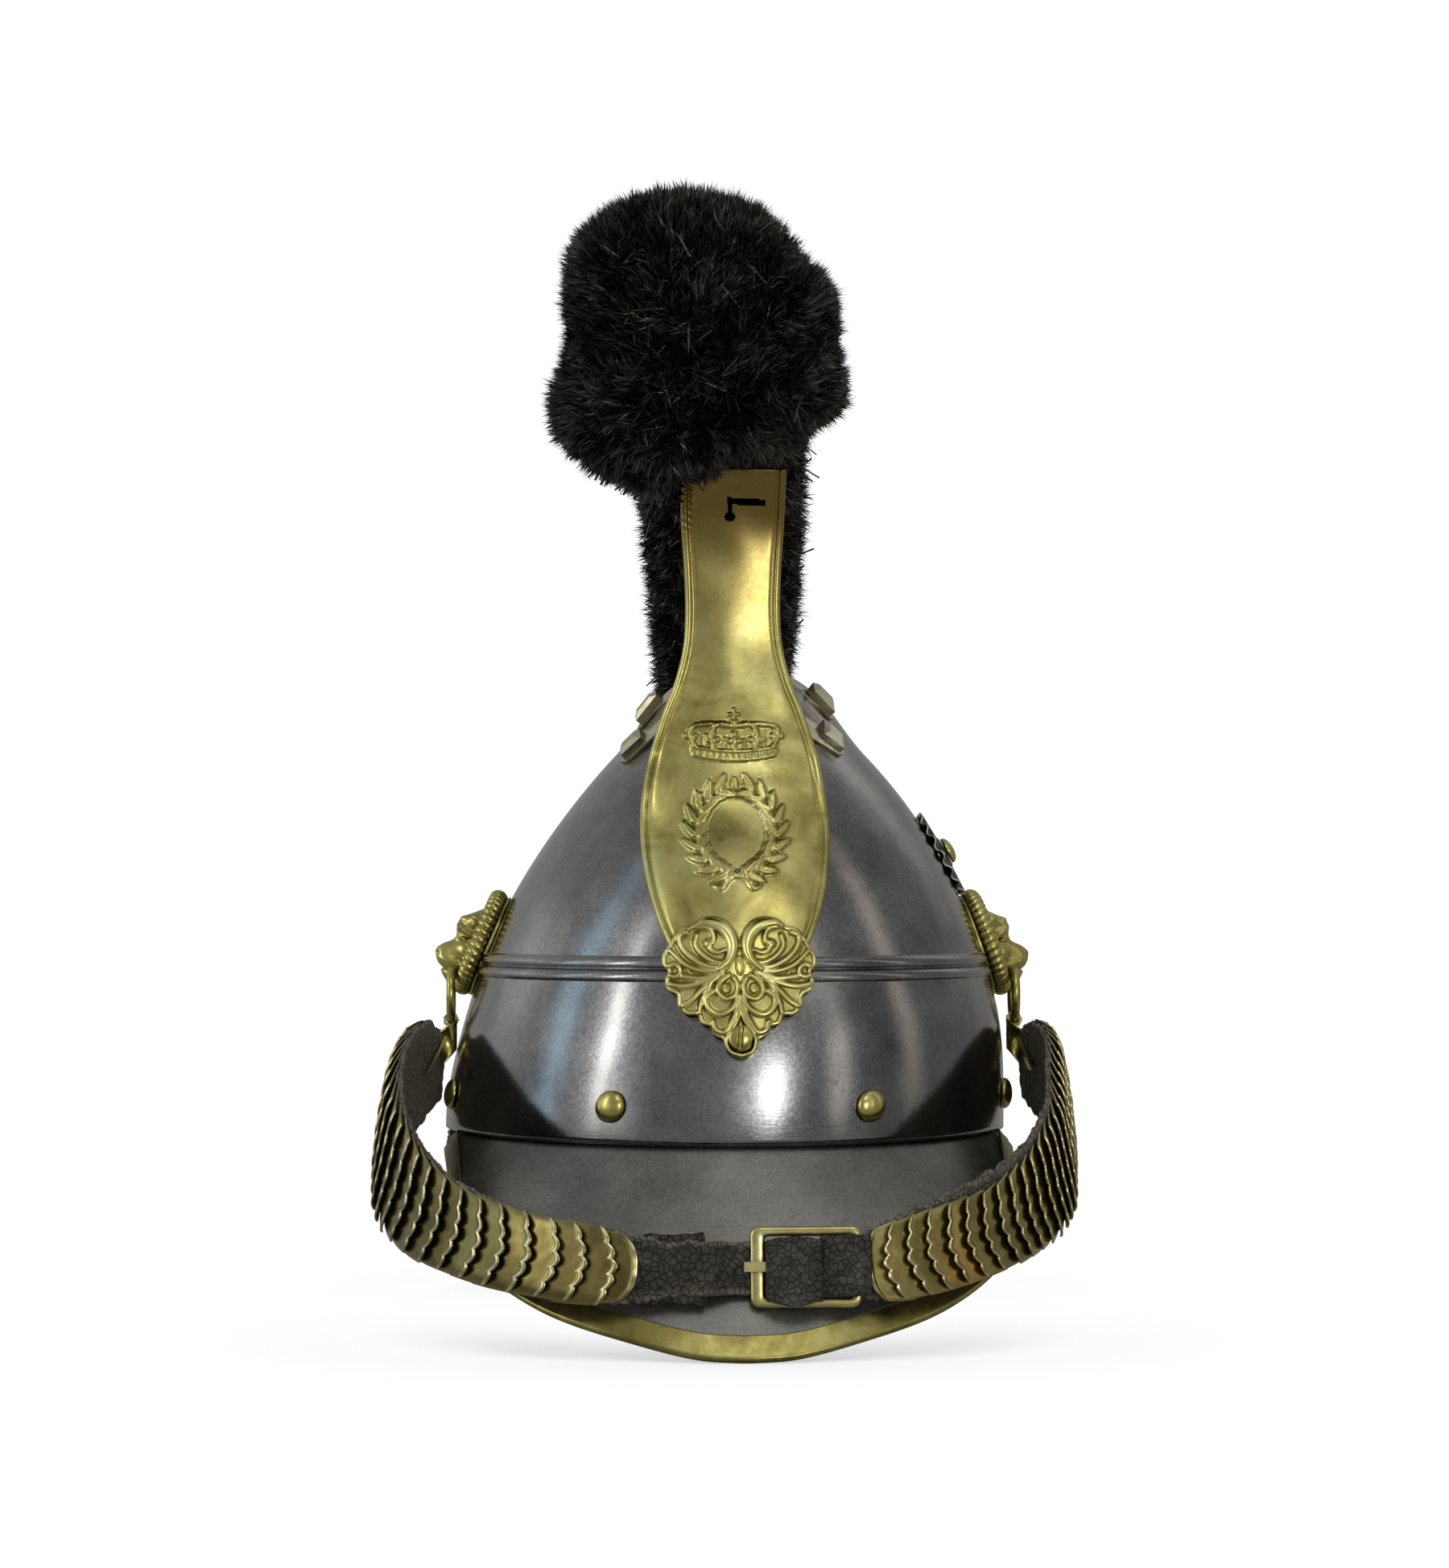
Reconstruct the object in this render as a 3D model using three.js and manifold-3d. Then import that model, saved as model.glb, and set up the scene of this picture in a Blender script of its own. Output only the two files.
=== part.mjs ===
// Steel cavalry helmet with a brass comb, a fur crest and a scaled chin strap.
// Millimetres, +Z up, front towards -Y, wearer's left towards +X.
// The origin is on the floor, below the middle of the skull.
import * as THREE from 'three';
import { mergeVertices } from 'three/addons/utils/BufferGeometryUtils.js';
import Module from 'manifold-3d';

const wasm = await Module();
wasm.setup();

// Driving dimensions
const skullBase = 64;
const skullRise = 160;
const skullHalfWidth = 96.5;
const skullHalfLength = 118;
const sideFullness = 0.78;
const frontFullness = 0.74;
const crownFullness = 0.2;
const baseLean = 3;
const crownLean = 2.5;
const wall = 1.2;
const gap = 0.3;
const facetSag = 0.65;
const beadHeight = 120;
const peakFlange = 12;
const edgeRise = 1.1;
const plateThickness = 1;
const plateStandOff = 2.3;
const strapThickness = 2.2;
const ringWire = 3;
const studHeight = 76;
const studRadius = 5.2;
const studRise = 3;
const studCount = 7;

const degree = Math.PI / 180;
const vec = (x, y, z) => new THREE.Vector3(x, y, z);

// Finishes
const finishes = {
  steel: { color: 0x4a4d52, roughness: 0.28, metalness: 1 },
  satinSteel: { color: 0x3d4042, roughness: 0.5, metalness: 1 },
  brass: { color: 0x9b8f3e, roughness: 0.3, metalness: 1 },
  leather: { color: 0x1c1715, roughness: 0.7, metalness: 0 },
  fur: { color: 0x08080a, roughness: 0.9, metalness: 0 },
};

// A value read from a table of rows, smooth between them, by the first column named
function tableValue(rows, column, at, value) {
  let i = 0;
  while (i < rows.length - 2 && at > rows[i + 1][column]) {
    i += 1;
  }
  const [r0, r1] = [rows[Math.max(0, i - 1)], rows[i]];
  const [r2, r3] = [rows[i + 1], rows[Math.min(rows.length - 1, i + 2)]];
  const span = r2[column] - r1[column];
  const t = Math.min(1, Math.max(0, (at - r1[column]) / span));
  const slope1 = ((r2[value] - r0[value]) / (r2[column] - r0[column])) * span;
  const slope2 = ((r3[value] - r1[value]) / (r3[column] - r1[column])) * span;
  const a = (2 * t ** 3 - 3 * t ** 2 + 1) * r1[value] + (t ** 3 - 2 * t ** 2 + t) * slope1;
  return a + (3 * t ** 2 - 2 * t ** 3) * r2[value] + (t ** 3 - t ** 2) * slope2;
}

const smooth = (low, high, at) => {
  const t = Math.min(1, Math.max(0, (at - low) / (high - low)));
  return t * t * (3 - 2 * t);
};

// Even steps from one value to another, and the turns of an even circle
const steps = (from, to, count) =>
  Array.from({ length: count + 1 }, (_, i) => from + ((to - from) * i) / count);
const turnsAround = (count) => steps(0, 2 * Math.PI, count).slice(0, count);
const circle = (radius, height, count) =>
  turnsAround(count).map((a) => vec(radius * Math.cos(a), radius * Math.sin(a), height));

// A closed geometry from vertices and triangles, faces turned outwards
function closedGeometry(points, triangles) {
  const raw = new THREE.BufferGeometry();
  const flat = points.flatMap((p) => [p.x, p.y, p.z]);
  raw.setAttribute('position', new THREE.Float32BufferAttribute(flat, 3));
  raw.setIndex(triangles.flat());
  const merged = mergeVertices(raw, 1e-4);
  const old = merged.index.array;
  const at = merged.attributes.position;
  const corner = [vec(), vec(), vec()];
  const kept = [];
  let volume = 0;
  for (let i = 0; i < old.length; i += 3) {
    const [a, b, c] = [old[i], old[i + 1], old[i + 2]];
    if (a !== b && b !== c && c !== a) {
      kept.push(a, b, c);
      corner.forEach((p, k) => p.fromBufferAttribute(at, [a, b, c][k]));
      volume += corner[0].dot(corner[1].cross(corner[2]));
    }
  }
  if (volume < 0) {
    kept.reverse();
  }
  merged.setIndex(kept);
  return merged;
}

// The cap of a ring of points whose flat outline is given, or is plain enough to be crossed zigzag
function capTriangles(n, outline) {
  if (outline) {
    return THREE.ShapeUtils.triangulateShape(outline.map(([x, y]) => new THREE.Vector2(x, y)), []);
  }
  const triangles = [];
  for (let j = 0; j < Math.floor(n / 2); j += 1) {
    const [a, b, c, d] = [j, j + 1, n - 2 - j, n - 1 - j];
    if (b < c) {
      triangles.push([a, b, c], [a, c, d]);
    } else if (b === c) {
      triangles.push([a, b, d]);
    }
  }
  return triangles;
}

// A skin through rings of points: capped at both ends, or closed from the last ring to the first
function loft(rings, closed = false, outline = null) {
  const n = rings[0].length;
  const triangles = [];
  for (let i = 0; i < (closed ? rings.length : rings.length - 1); i += 1) {
    const next = ((i + 1) % rings.length) * n;
    for (let j = 0; j < n; j += 1) {
      const k = (j + 1) % n;
      triangles.push([i * n + j, i * n + k, next + k], [i * n + j, next + k, next + j]);
    }
  }
  if (!closed) {
    const last = (rings.length - 1) * n;
    const cap = capTriangles(n, outline);
    const flat = outline && outline.map(([x, y]) => new THREE.Vector2(x, y));
    const forward = outline && THREE.ShapeUtils.isClockWise(flat);
    for (const [a, b, c] of cap) {
      const [p, q, r] = forward ? [a, c, b] : [a, b, c];
      triangles.push([p, r, q], [last + p, last + q, last + r]);
    }
  }
  return closedGeometry(rings.flat(), triangles);
}

// Booleans between closed geometries
function solidOf(geometry) {
  const bare = geometry.clone();
  bare.deleteAttribute('normal');
  bare.deleteAttribute('uv');
  const merged = mergeVertices(bare, 1e-4);
  const triVerts = new Uint32Array(merged.index.array);
  return new wasm.Manifold(new wasm.Mesh({
    numProp: 3,
    vertProperties: new Float32Array(merged.attributes.position.array),
    triVerts,
  }));
}

function geometryOf(solid) {
  const mesh = solid.getMesh();
  const geometry = new THREE.BufferGeometry();
  geometry.setAttribute('position', new THREE.Float32BufferAttribute(Array.from(mesh.vertProperties), 3));
  geometry.setIndex(Array.from(mesh.triVerts));
  return geometry;
}

function cut(geometry, ...tools) {
  let solid = solidOf(geometry);
  for (const tool of tools) {
    solid = solid.subtract(solidOf(tool));
  }
  const bodies = solid.decompose().sort((a, b) => b.volume() - a.volume());
  return geometryOf(bodies[0]);
}

function join(geometry, ...others) {
  let solid = solidOf(geometry);
  for (const other of others) {
    solid = solid.add(solidOf(other));
  }
  return geometryOf(solid);
}

function boxAt(width, depth, height, x, y, z) {
  return new THREE.BoxGeometry(width, depth, height).translate(x, y, z);
}

// The skull's form: half sizes by height, and a point on it by turn from the front
function skullHalf(height) {
  const rise = Math.min(1, Math.max(0, (height - skullBase) / skullRise));
  const share = 1 - rise * rise;
  const round = crownFullness * smooth(0.8, 1, rise);
  return {
    side: skullHalfWidth * share ** (sideFullness - round),
    front: skullHalfLength * share ** (frontFullness - round),
  };
}

// How far the skull leans to the left: first below the bead, then above it
const leanTurn = beadHeight - 8;
const leanTop = skullBase + skullRise * 0.75;
const leanAt = (height) =>
  baseLean * smooth(skullBase, leanTurn, height) + crownLean * smooth(leanTurn, leanTop, height);

function skullPoint(turn, height, offset = 0) {
  const half = skullHalf(height);
  const side = Math.max(0, half.side + offset);
  const front = Math.max(0, half.front + offset);
  return vec(leanAt(height) + side * Math.sin(turn), -front * Math.cos(turn), height);
}

// Where the skull's front lies at a sideways place and height
function skullFrontY(x, height, offset = 0) {
  const half = skullHalf(height);
  const across = Math.min(0.98, Math.abs(x - leanAt(height)) / (half.side + offset));
  return -(half.front + offset) * Math.sqrt(1 - across * across);
}

// The double bead: height from its middle, how far it stands out
const beadRows = [
  { above: -4, out: 0 },
  { above: -3, out: 1.5 },
  { above: -1.4, out: 1.5 },
  { above: 0, out: 0.3 },
  { above: 1.4, out: 1.5 },
  { above: 3, out: 1.5 },
  { above: 4, out: 0 },
];

const skullSides = 32;
const skullRows = [134, 147, 160, 173, 185, 196, 206, 214, 220];
const insideRows = [218, 206, 182, 152, 118, 90, skullBase];
const skirtDepth = 12;

// The skull as a shell, or as a filled form that other pieces are cut back from
function skullShell(grow, hollow) {
  const ring = (height, offset) =>
    turnsAround(skullSides).map((turn) => skullPoint(turn, height, offset));
  const pole = (height) =>
    Array.from({ length: skullSides }, () => vec(leanAt(height), 0, height));
  const below = steps(skullBase, beadHeight - 4, 3).slice(0, 3);
  const rings = [
    ...below.map((height) => ring(height, grow)),
    ...beadRows.map((row) => ring(beadHeight + row.above, row.out + grow)),
    ...skullRows.map((height) => ring(height, grow)),
    pole(skullBase + skullRise + grow),
  ];
  if (!hollow) {
    rings.unshift(ring(skullBase - skirtDepth, grow));
    rings.unshift(pole(skullBase - skirtDepth));
    return loft(rings);
  }
  rings.push(pole(skullBase + skullRise - wall));
  rings.push(...insideRows.map((height) => ring(height, -wall)));
  return loft(rings, true);
}

const skullFat = skullShell(gap, false);

// The skirts: how far the peak and the neck guard reach out and drop, by turn from their middle
const fullDrop = skullBase - edgeRise;
const skirtBulge = 1.5;
const peakRows = [
  { turn: 0, reach: 40.5, drop: 1 },
  { turn: 6, reach: 40.3, drop: 0.985 },
  { turn: 14, reach: 39.5, drop: 0.915 },
  { turn: 25, reach: 38.5, drop: 0.8 },
  { turn: 34, reach: 36, drop: 0.66 },
  { turn: 44, reach: 28, drop: 0.5 },
  { turn: 54, reach: 17, drop: 0.33 },
  { turn: 64, reach: 7.5, drop: 0.19 },
  { turn: 76, reach: 1.5, drop: 0.06 },
];
const guardRows = [
  { turn: 0, reach: 37, drop: 1 },
  { turn: 12, reach: 37, drop: 1 },
  { turn: 24, reach: 35.5, drop: 1 },
  { turn: 36, reach: 30, drop: 0.93 },
  { turn: 48, reach: 20, drop: 0.71 },
  { turn: 60, reach: 10, drop: 0.42 },
  { turn: 72, reach: 3, drop: 0.16 },
  { turn: 80, reach: 1, drop: 0.06 },
];

// The middle line of a skirt's sheet at one turn, from the flange's top down to the edge
function skirtLine(rows, middle, turn) {
  const out = vec(
    Math.sin(middle + turn) / skullHalfWidth,
    -Math.cos(middle + turn) / skullHalfLength,
    0,
  ).normalize();
  const reach = tableValue(rows, 'turn', Math.abs(turn) / degree, 'reach');
  const drop = fullDrop * tableValue(rows, 'turn', Math.abs(turn) / degree, 'drop');
  const inset = -(wall * 1.5 + gap + facetSag);
  const foot = skullPoint(middle + turn, skullBase, inset);
  const line = [
    skullPoint(middle + turn, skullBase + peakFlange, inset - facetSag),
    foot.clone().setZ(skullBase - gap - wall * 0.3),
  ];
  for (const share of [0.5, 1]) {
    const bulge = skirtBulge * Math.sin(Math.PI * share) * Math.min(1, drop / 30);
    const edge = foot.clone().addScaledVector(out, (reach - inset) * share + bulge);
    line.push(edge.setZ(skullBase - drop * share));
  }
  return { line, out };
}

// Each point of a line moved square to it, within the upright plane that holds the direction out
function thicken(line, out, half) {
  return line.map((point, i) => {
    const along = line[Math.min(i + 1, line.length - 1)].clone().sub(line[Math.max(i - 1, 0)]).normalize();
    const square = vec(-out.x * along.z, -out.y * along.z, along.dot(out)).normalize();
    return point.clone().addScaledVector(square, half);
  });
}

function skirtTurns(rows, columns) {
  const last = rows[rows.length - 1].turn * degree;
  return steps(-last, last, columns);
}

function skirt(rows, middle, columns) {
  return loft(skirtTurns(rows, columns).map((turn) => {
    const { line, out } = skirtLine(rows, middle, turn);
    return [...thicken(line, out, wall / 2), ...thicken(line, out, -wall / 2).reverse()];
  }));
}

// The folded brass round a skirt's edge: out and inner faces of its U, along the sheet and square to it
const trimOuter = [[-6.4, 1.7], [1, 1.7], [1.3, 0], [1, -1.7], [-6.4, -1.7]];
const trimInner = [[-6.4, 0.9], [0.3, 0.9], [0.3, -0.9], [-6.4, -0.9]];

function skirtTrim(rows, middle, columns) {
  const strip = loft(skirtTurns(rows, columns).slice(1, -1).map((turn) => {
    const { line, out } = skirtLine(rows, middle, turn);
    const [before, end] = line.slice(-2);
    const along = end.clone().sub(before).normalize();
    const square = vec(-out.x * along.z, -out.y * along.z, along.dot(out)).normalize();
    const place = ([a, b]) => end.clone().addScaledVector(along, a).addScaledVector(square, b);
    return [...trimOuter.map(place), ...trimInner.map(place).reverse()];
  }), false, [...trimOuter, ...[...trimInner].reverse()]);
  return cut(strip, boxAt(500, 500, 20, 0, 0, -10));
}

// The front plate: half width by height, and how far forward it lies above the skull
const plateRows = [
  { height: 118, half: 16 },
  { height: 124, half: 20.6 },
  { height: 135, half: 25.8 },
  { height: 148, half: 29.3 },
  { height: 162, half: 31 },
  { height: 174, half: 30.8 },
  { height: 187, half: 28.6 },
  { height: 196, half: 26.2 },
  { height: 206, half: 22.8 },
  { height: 214, half: 19.6 },
  { height: 226, half: 16.6 },
  { height: 238, half: 15.8 },
  { height: 252, half: 16.2 },
  { height: 268, half: 17.2 },
  { height: 285, half: 17.6 },
];
const neckRows = [
  { height: 150, front: -91 },
  { height: 165, front: -84.5 },
  { height: 180, front: -77.5 },
  { height: 200, front: -70.5 },
  { height: 225, front: -65 },
  { height: 250, front: -62.5 },
  { height: 270, front: -63.5 },
  { height: 285, front: -70 },
];

// A point on the plate's face, raised by a height square to it
function platePoint(x, height, raise = 0) {
  const onNeck = smooth(158, 192, height);
  const onSkull = skullFrontY(x, height) - plateStandOff - plateThickness;
  const neck = tableValue(neckRows, 'height', Math.max(150, height), 'front') + 0.006 * x * x;
  const y = onSkull * (1 - onNeck) + neck * onNeck;
  return vec(x, y - raise, height);
}

const plateAcross = [-1, -0.93, -0.84, -0.42, 0, 0.42, 0.84, 0.93, 1];
const plateRim = 0.93;
const rimRise = 0.9;

function plateSheet(grow, beaded) {
  const first = plateRows[0].height;
  const top = plateRows[plateRows.length - 1].height;
  const rows = steps(first, top, 14);
  rows[0] -= grow;
  rows[rows.length - 1] += grow;
  return loft(rows.map((height) => {
    const half = tableValue(plateRows, 'height', height, 'half') + grow;
    const rim = (share) => (beaded && Math.abs(share) === plateRim ? rimRise : 0);
    const face = plateAcross.map((share) => platePoint(half * share, height, grow + rim(share)));
    const back = plateAcross.map((share) => platePoint(half * share, height, -plateThickness - grow));
    return [...face, ...back.reverse()];
  }));
}

// A low raised form on a surface: an outline round its middle, and rows of share and height
function raised(outline, middle, place, profile) {
  const [x, z] = middle;
  return loft(profile.map(({ share, height }) =>
    outline.map(([a, b]) => place(x + (a - x) * share, z + (b - z) * share, height))));
}

const leafProfile = (low, high) => [
  { share: 0, height: low },
  { share: 1, height: low },
  { share: 0, height: high },
];

// A pointed or blunt strip from one place to another
function blade(from, to, half, blunt = 0) {
  const [dx, dz] = [to[0] - from[0], to[1] - from[1]];
  const length = Math.hypot(dx, dz);
  const [nx, nz] = [(-dz / length) * half, (dx / length) * half];
  const at = (share, side) => [from[0] + dx * share + nx * side, from[1] + dz * share + nz * side];
  return blunt
    ? [at(0, -blunt), at(1, -blunt), at(1, blunt), at(0, blunt)]
    : [at(0, 0), at(0.45, -1), at(1, 0), at(0.45, 1)];
}

const middleOf = (outline) => [
  outline.reduce((sum, p) => sum + p[0], 0) / outline.length,
  outline.reduce((sum, p) => sum + p[1], 0) / outline.length,
];

// The coronet: a band, five leaves on it and a small cross on the middle one
const coronetFoot = 188;
const coronetHalf = 13.5;
const reliefFoot = -0.9;

function coronet() {
  const sag = (x) => coronetFoot + 1.6 * (x / coronetHalf) ** 2;
  const across = steps(-coronetHalf, coronetHalf, 4);
  const upper = across.map((x) => [x * 1.04, sag(x) + 3.4]).reverse();
  const band = [...across.map((x) => [x, sag(x)]), ...upper];
  const parts = [raised(band, [0, coronetFoot + 2], platePoint, leafProfile(reliefFoot, 1.4))];
  for (const share of [-1, -0.5, 0, 0.5, 1]) {
    const foot = [share * coronetHalf, sag(share * coronetHalf) + 2.2];
    const tip = [share * (coronetHalf + 2.4), foot[1] + 8.2 - Math.abs(share) * 1.2];
    const leaf = blade(foot, tip, 1.7);
    parts.push(raised(leaf, middleOf(leaf), platePoint, leafProfile(reliefFoot, 1.3)));
  }
  const post = blade([0, 197], [0, 203.5], 0.9, 0.8);
  const arm = blade([-2.1, 201.2], [2.1, 201.2], 0.8, 0.8);
  parts.push(raised(post, middleOf(post), platePoint, leafProfile(reliefFoot, 1)));
  parts.push(raised(arm, middleOf(arm), platePoint, leafProfile(reliefFoot, 1.1)));
  return parts;
}

// The wreath: two branches of leaves that rise from a knot and bend towards each other
const wreathMiddle = 165;
const wreathRadius = { x: 13.5, z: 14.5 };
const wreathLeaves = 4;
const leafLength = 7.4;

function wreath() {
  const knotHeight = wreathMiddle - wreathRadius.z;
  const knot = blade([-3.4, knotHeight], [3.4, knotHeight], 1.8, 0.8);
  const parts = [raised(knot, middleOf(knot), platePoint, leafProfile(reliefFoot, 1.5))];
  for (const side of [-1, 1]) {
    for (let i = 0; i < wreathLeaves; i += 1) {
      const turn = (-66 + i * 38) * degree;
      const foot = [
        side * wreathRadius.x * Math.cos(turn),
        wreathMiddle + wreathRadius.z * Math.sin(turn),
      ];
      for (const splay of [-0.5, 0.5]) {
        const aim = turn + Math.PI / 2 + splay;
        const tip = [foot[0] + side * leafLength * Math.cos(aim), foot[1] + leafLength * Math.sin(aim)];
        const leaf = blade(foot, tip, 1.9);
        parts.push(raised(leaf, middleOf(leaf), platePoint, leafProfile(reliefFoot, 1.3)));
      }
    }
  }
  return parts;
}

// The plate with its crest slot and keyhole near the top, and the reliefs on its face
const slotHeight = 274;

function frontPlate() {
  const slot = boxAt(13, 30, 1.6, 3.5, -64, slotHeight);
  const keyhole = new THREE.CylinderGeometry(1.6, 1.6, 30, 8).translate(0, -64, slotHeight - 5);
  const keyway = boxAt(1.4, 30, 5, 0, -64, slotHeight - 2.4);
  return join(cut(plateSheet(0, true), slot, keyhole, keyway), ...coronet(), ...wreath());
}

const plateFat = plateSheet(gap * 2.5, true);

// The comb: a narrow box on the crown, from the plate's back to the nape; its top edge by rows
const combRows = [
  { footY: -88, topY: -61, topZ: 262, half: 13 },
  { footY: -70, topY: -58, topZ: 282, half: 15 },
  { footY: -56, topY: -44, topZ: 283, half: 14 },
  { footY: -38, topY: -24, topZ: 277, half: 12.5 },
  { footY: -16, topY: 0, topZ: 266, half: 11.5 },
  { footY: 8, topY: 26, topZ: 250, half: 10.5 },
  { footY: 32, topY: 50, topZ: 230, half: 10 },
  { footY: 54, topY: 74, topZ: 206, half: 9.5 },
  { footY: 74, topY: 94, topZ: 180, half: 9 },
  { footY: 88, topY: 106, topZ: 158, half: 8.5 },
  { footY: 96, topY: 112, topZ: 142, half: 8 },
];

// The skull's outer height over a place in plan, found by halving
function crownHeight(x, y) {
  let [low, high] = [skullBase, skullBase + skullRise];
  for (let i = 0; i < 30; i += 1) {
    const middle = (low + high) / 2;
    const half = skullHalf(middle);
    const inside = ((x - leanAt(middle)) / half.side) ** 2 + (y / half.front) ** 2 < 1;
    [low, high] = inside ? [middle, high] : [low, middle];
  }
  return low;
}

function combBody(grow) {
  return loft(combRows.map(({ footY, topY, topZ, half }, i) => {
    const ends = { 0: -2 * grow, [combRows.length - 1]: grow };
    const push = ends[i] ?? 0;
    const foot = vec(0, footY + push, crownHeight(0, footY) - 8);
    const top = vec(0, topY + push, topZ);
    const lift = top.clone().sub(foot).normalize().multiplyScalar(grow);
    const side = vec(half + grow, 0, 0);
    const high = top.clone().add(lift);
    return [high.clone().sub(side), high.clone().add(side), foot.clone().add(side), foot.clone().sub(side)];
  }));
}

// Room for the plate and all that lies in front of it
function plateFront() {
  return loft(steps(100, 300, 16).map((height) => {
    const face = [-40, -20, 0, 20, 40].map((x) => platePoint(x, height, -plateThickness - gap * 2.5));
    return [...face, vec(40, -200, height), vec(-40, -200, height)];
  }));
}

function comb() {
  return cut(combBody(0), skullFat, plateFront());
}

// The comb's feet: a tab with a round end on the skull, and a square nut on it
const footRows = [
  { name: 'front_right', x: -31, y: -27 },
  { name: 'front_left', x: 33.5, y: -37 },
  { name: 'middle_right', x: -25, y: -12 },
  { name: 'middle_left', x: 31, y: -20 },
];
const tabHalf = 4.6;
const tabEnd = 5;
const nutHalf = 3.3;
const tabProfile = [
  { share: 0, height: -3 },
  { share: 1, height: -3 },
  { share: 1, height: 1 },
  { share: 0, height: 1 },
];
const nutProfile = [
  { share: 0, height: 0.2 },
  { share: 1, height: 0.2 },
  { share: 1, height: 3.6 },
  { share: 0.6, height: 4.8 },
  { share: 0, height: 4.8 },
];

function crownPoint(x, y, raise) {
  const at = (dx, dy) => vec(x + dx, y + dy, crownHeight(x + dx, y + dy));
  const out = at(0.5, 0).sub(at(-0.5, 0)).cross(at(0, 0.5).sub(at(0, -0.5))).normalize();
  return at(0, 0).addScaledVector(out, raise);
}

function combFoot({ x, y }) {
  const side = Math.sign(x);
  const root = side * 11;
  const end = [-45, 0, 45].map((a) => [
    x + side * tabEnd * Math.cos(a * degree),
    y + tabEnd * Math.sin(a * degree),
  ]);
  const tab = [[root, y - tabHalf], [x, y - tabHalf], ...end, [x, y + tabHalf], [root, y + tabHalf]];
  const strip = raised(tab, [(root + x) / 2, y], crownPoint, tabProfile);
  const square = [[-1, -1], [1, -1], [1, 1], [-1, 1]].map(([a, b]) => [x + a * nutHalf, y + b * nutHalf]);
  const nut = raised(square, [x, y], crownPoint, nutProfile);
  return cut(join(strip, nut), skullFat, combBody(gap), plateFat);
}

// A matrix that sets local +Z square to the skull's side at a place, local +Y up its slope
function skullFrame(turn, height, lift = 0) {
  const up = skullPoint(turn, height + 1).sub(skullPoint(turn, height - 1)).normalize();
  const round = skullPoint(turn + 0.01, height).sub(skullPoint(turn - 0.01, height)).normalize();
  const out = round.clone().cross(up).normalize();
  const at = skullPoint(turn, height).addScaledVector(out, lift);
  return new THREE.Matrix4().makeBasis(round, up, out).setPosition(at);
}

function turnAt(x, height) {
  return Math.asin((x - leanAt(height)) / skullHalf(height).side);
}

// The palmette: half of its outline from the notch at the top to the tip, and its raised fronds
const palmetteMiddle = [0, 114];
const palmetteHalf = [
  [0, 128.6], [3.4, 134], [8.2, 136.6], [13.6, 135.6], [18.4, 131.6], [23, 128.6], [25, 123.4],
  [22.4, 119.4], [24, 115.4], [20.4, 110], [17, 105.6], [13, 101], [8.6, 98.4], [5.6, 94.4], [0, 92],
];
const frondRows = [
  { fromX: 3, fromZ: 120, toX: 4.5, toZ: 134.5, half: 2.4 },
  { fromX: 4.6, fromZ: 134, toX: 13, toZ: 132.5, half: 2 },
  { fromX: 13, fromZ: 132, toX: 12, toZ: 125.5, half: 1.7 },
  { fromX: 5, fromZ: 119.5, toX: 22.6, toZ: 124.6, half: 2.1 },
  { fromX: 5.5, fromZ: 117, toX: 21.8, toZ: 114.6, half: 1.9 },
  { fromX: 5.5, fromZ: 114.5, toX: 17.4, toZ: 108, half: 1.8 },
  { fromX: 4, fromZ: 111, toX: 12, toZ: 102.6, half: 1.7 },
  { fromX: 2.2, fromZ: 109, toX: 6, toZ: 99.6, half: 1.5 },
];
const palmetteLift = 3.4;
const screwHeight = 97.5;
const screwSeat = 1.6;

function palmettePoint(x, height, raise) {
  return vec(x, skullFrontY(x, height) - palmetteLift - raise, height);
}

function palmette() {
  const mirrored = palmetteHalf.slice(1, -1).reverse().map(([x, z]) => [-x, z]);
  const outline = [...palmetteHalf, ...mirrored];
  const body = raised(outline, palmetteMiddle, palmettePoint, [
    { share: 0, height: -8 },
    { share: 1, height: -8 },
    { share: 1, height: 0.8 },
    { share: 0.5, height: 1.4 },
    { share: 0, height: 1.4 },
  ]);
  const fronds = frondRows.flatMap(({ fromX, fromZ, toX, toZ, half }) => [-1, 1].map((side) => {
    const strip = blade([side * fromX, fromZ], [side * toX, toZ], half);
    return raised(strip, middleOf(strip), palmettePoint, leafProfile(0.4, 3));
  }));
  return cut(join(body, ...fronds), skullFat, plateFat);
}

// Low heads: a screw with a slot, and a dome for the studs and the button
const headSides = 8;
const slotWidth = 1.1;

function screwHead(radius, height) {
  const head = loft([
    circle(radius, 0, headSides),
    circle(radius, height * 0.35, headSides),
    circle(radius * 0.72, height * 0.85, headSides),
    circle(radius * 0.3, height, headSides),
  ]);
  return cut(head, boxAt(slotWidth, radius * 3, height, 0, 0, height * 0.9));
}

function dome(radius, rise) {
  return loft([0, 0.62, 1.25].map((a) => circle(radius * Math.cos(a), rise * Math.sin(a), headSides)));
}

// The cockade: a fluted disc with a turned-up edge, square to the skull's side
const cockadePlace = { turn: 86 * degree, height: 157.4 };
const cockadeRadius = 16;
const cockadeFlutes = 14;
const cockadeThickness = 2.8;

function cockade() {
  const count = cockadeFlutes * 2;
  const ring = (share, height, wave) => circle(cockadeRadius * share, height, count).map((point, i) =>
    point.setZ(height + (i % 2 ? wave : -wave)));
  const hub = cockadeThickness;
  return loft([ring(0, 0.4, 0), ring(1, 2.6, 0.9), ring(1, 4, 0.9), ring(0.3, hub, 0), ring(0, hub, 0)]);
}

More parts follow.
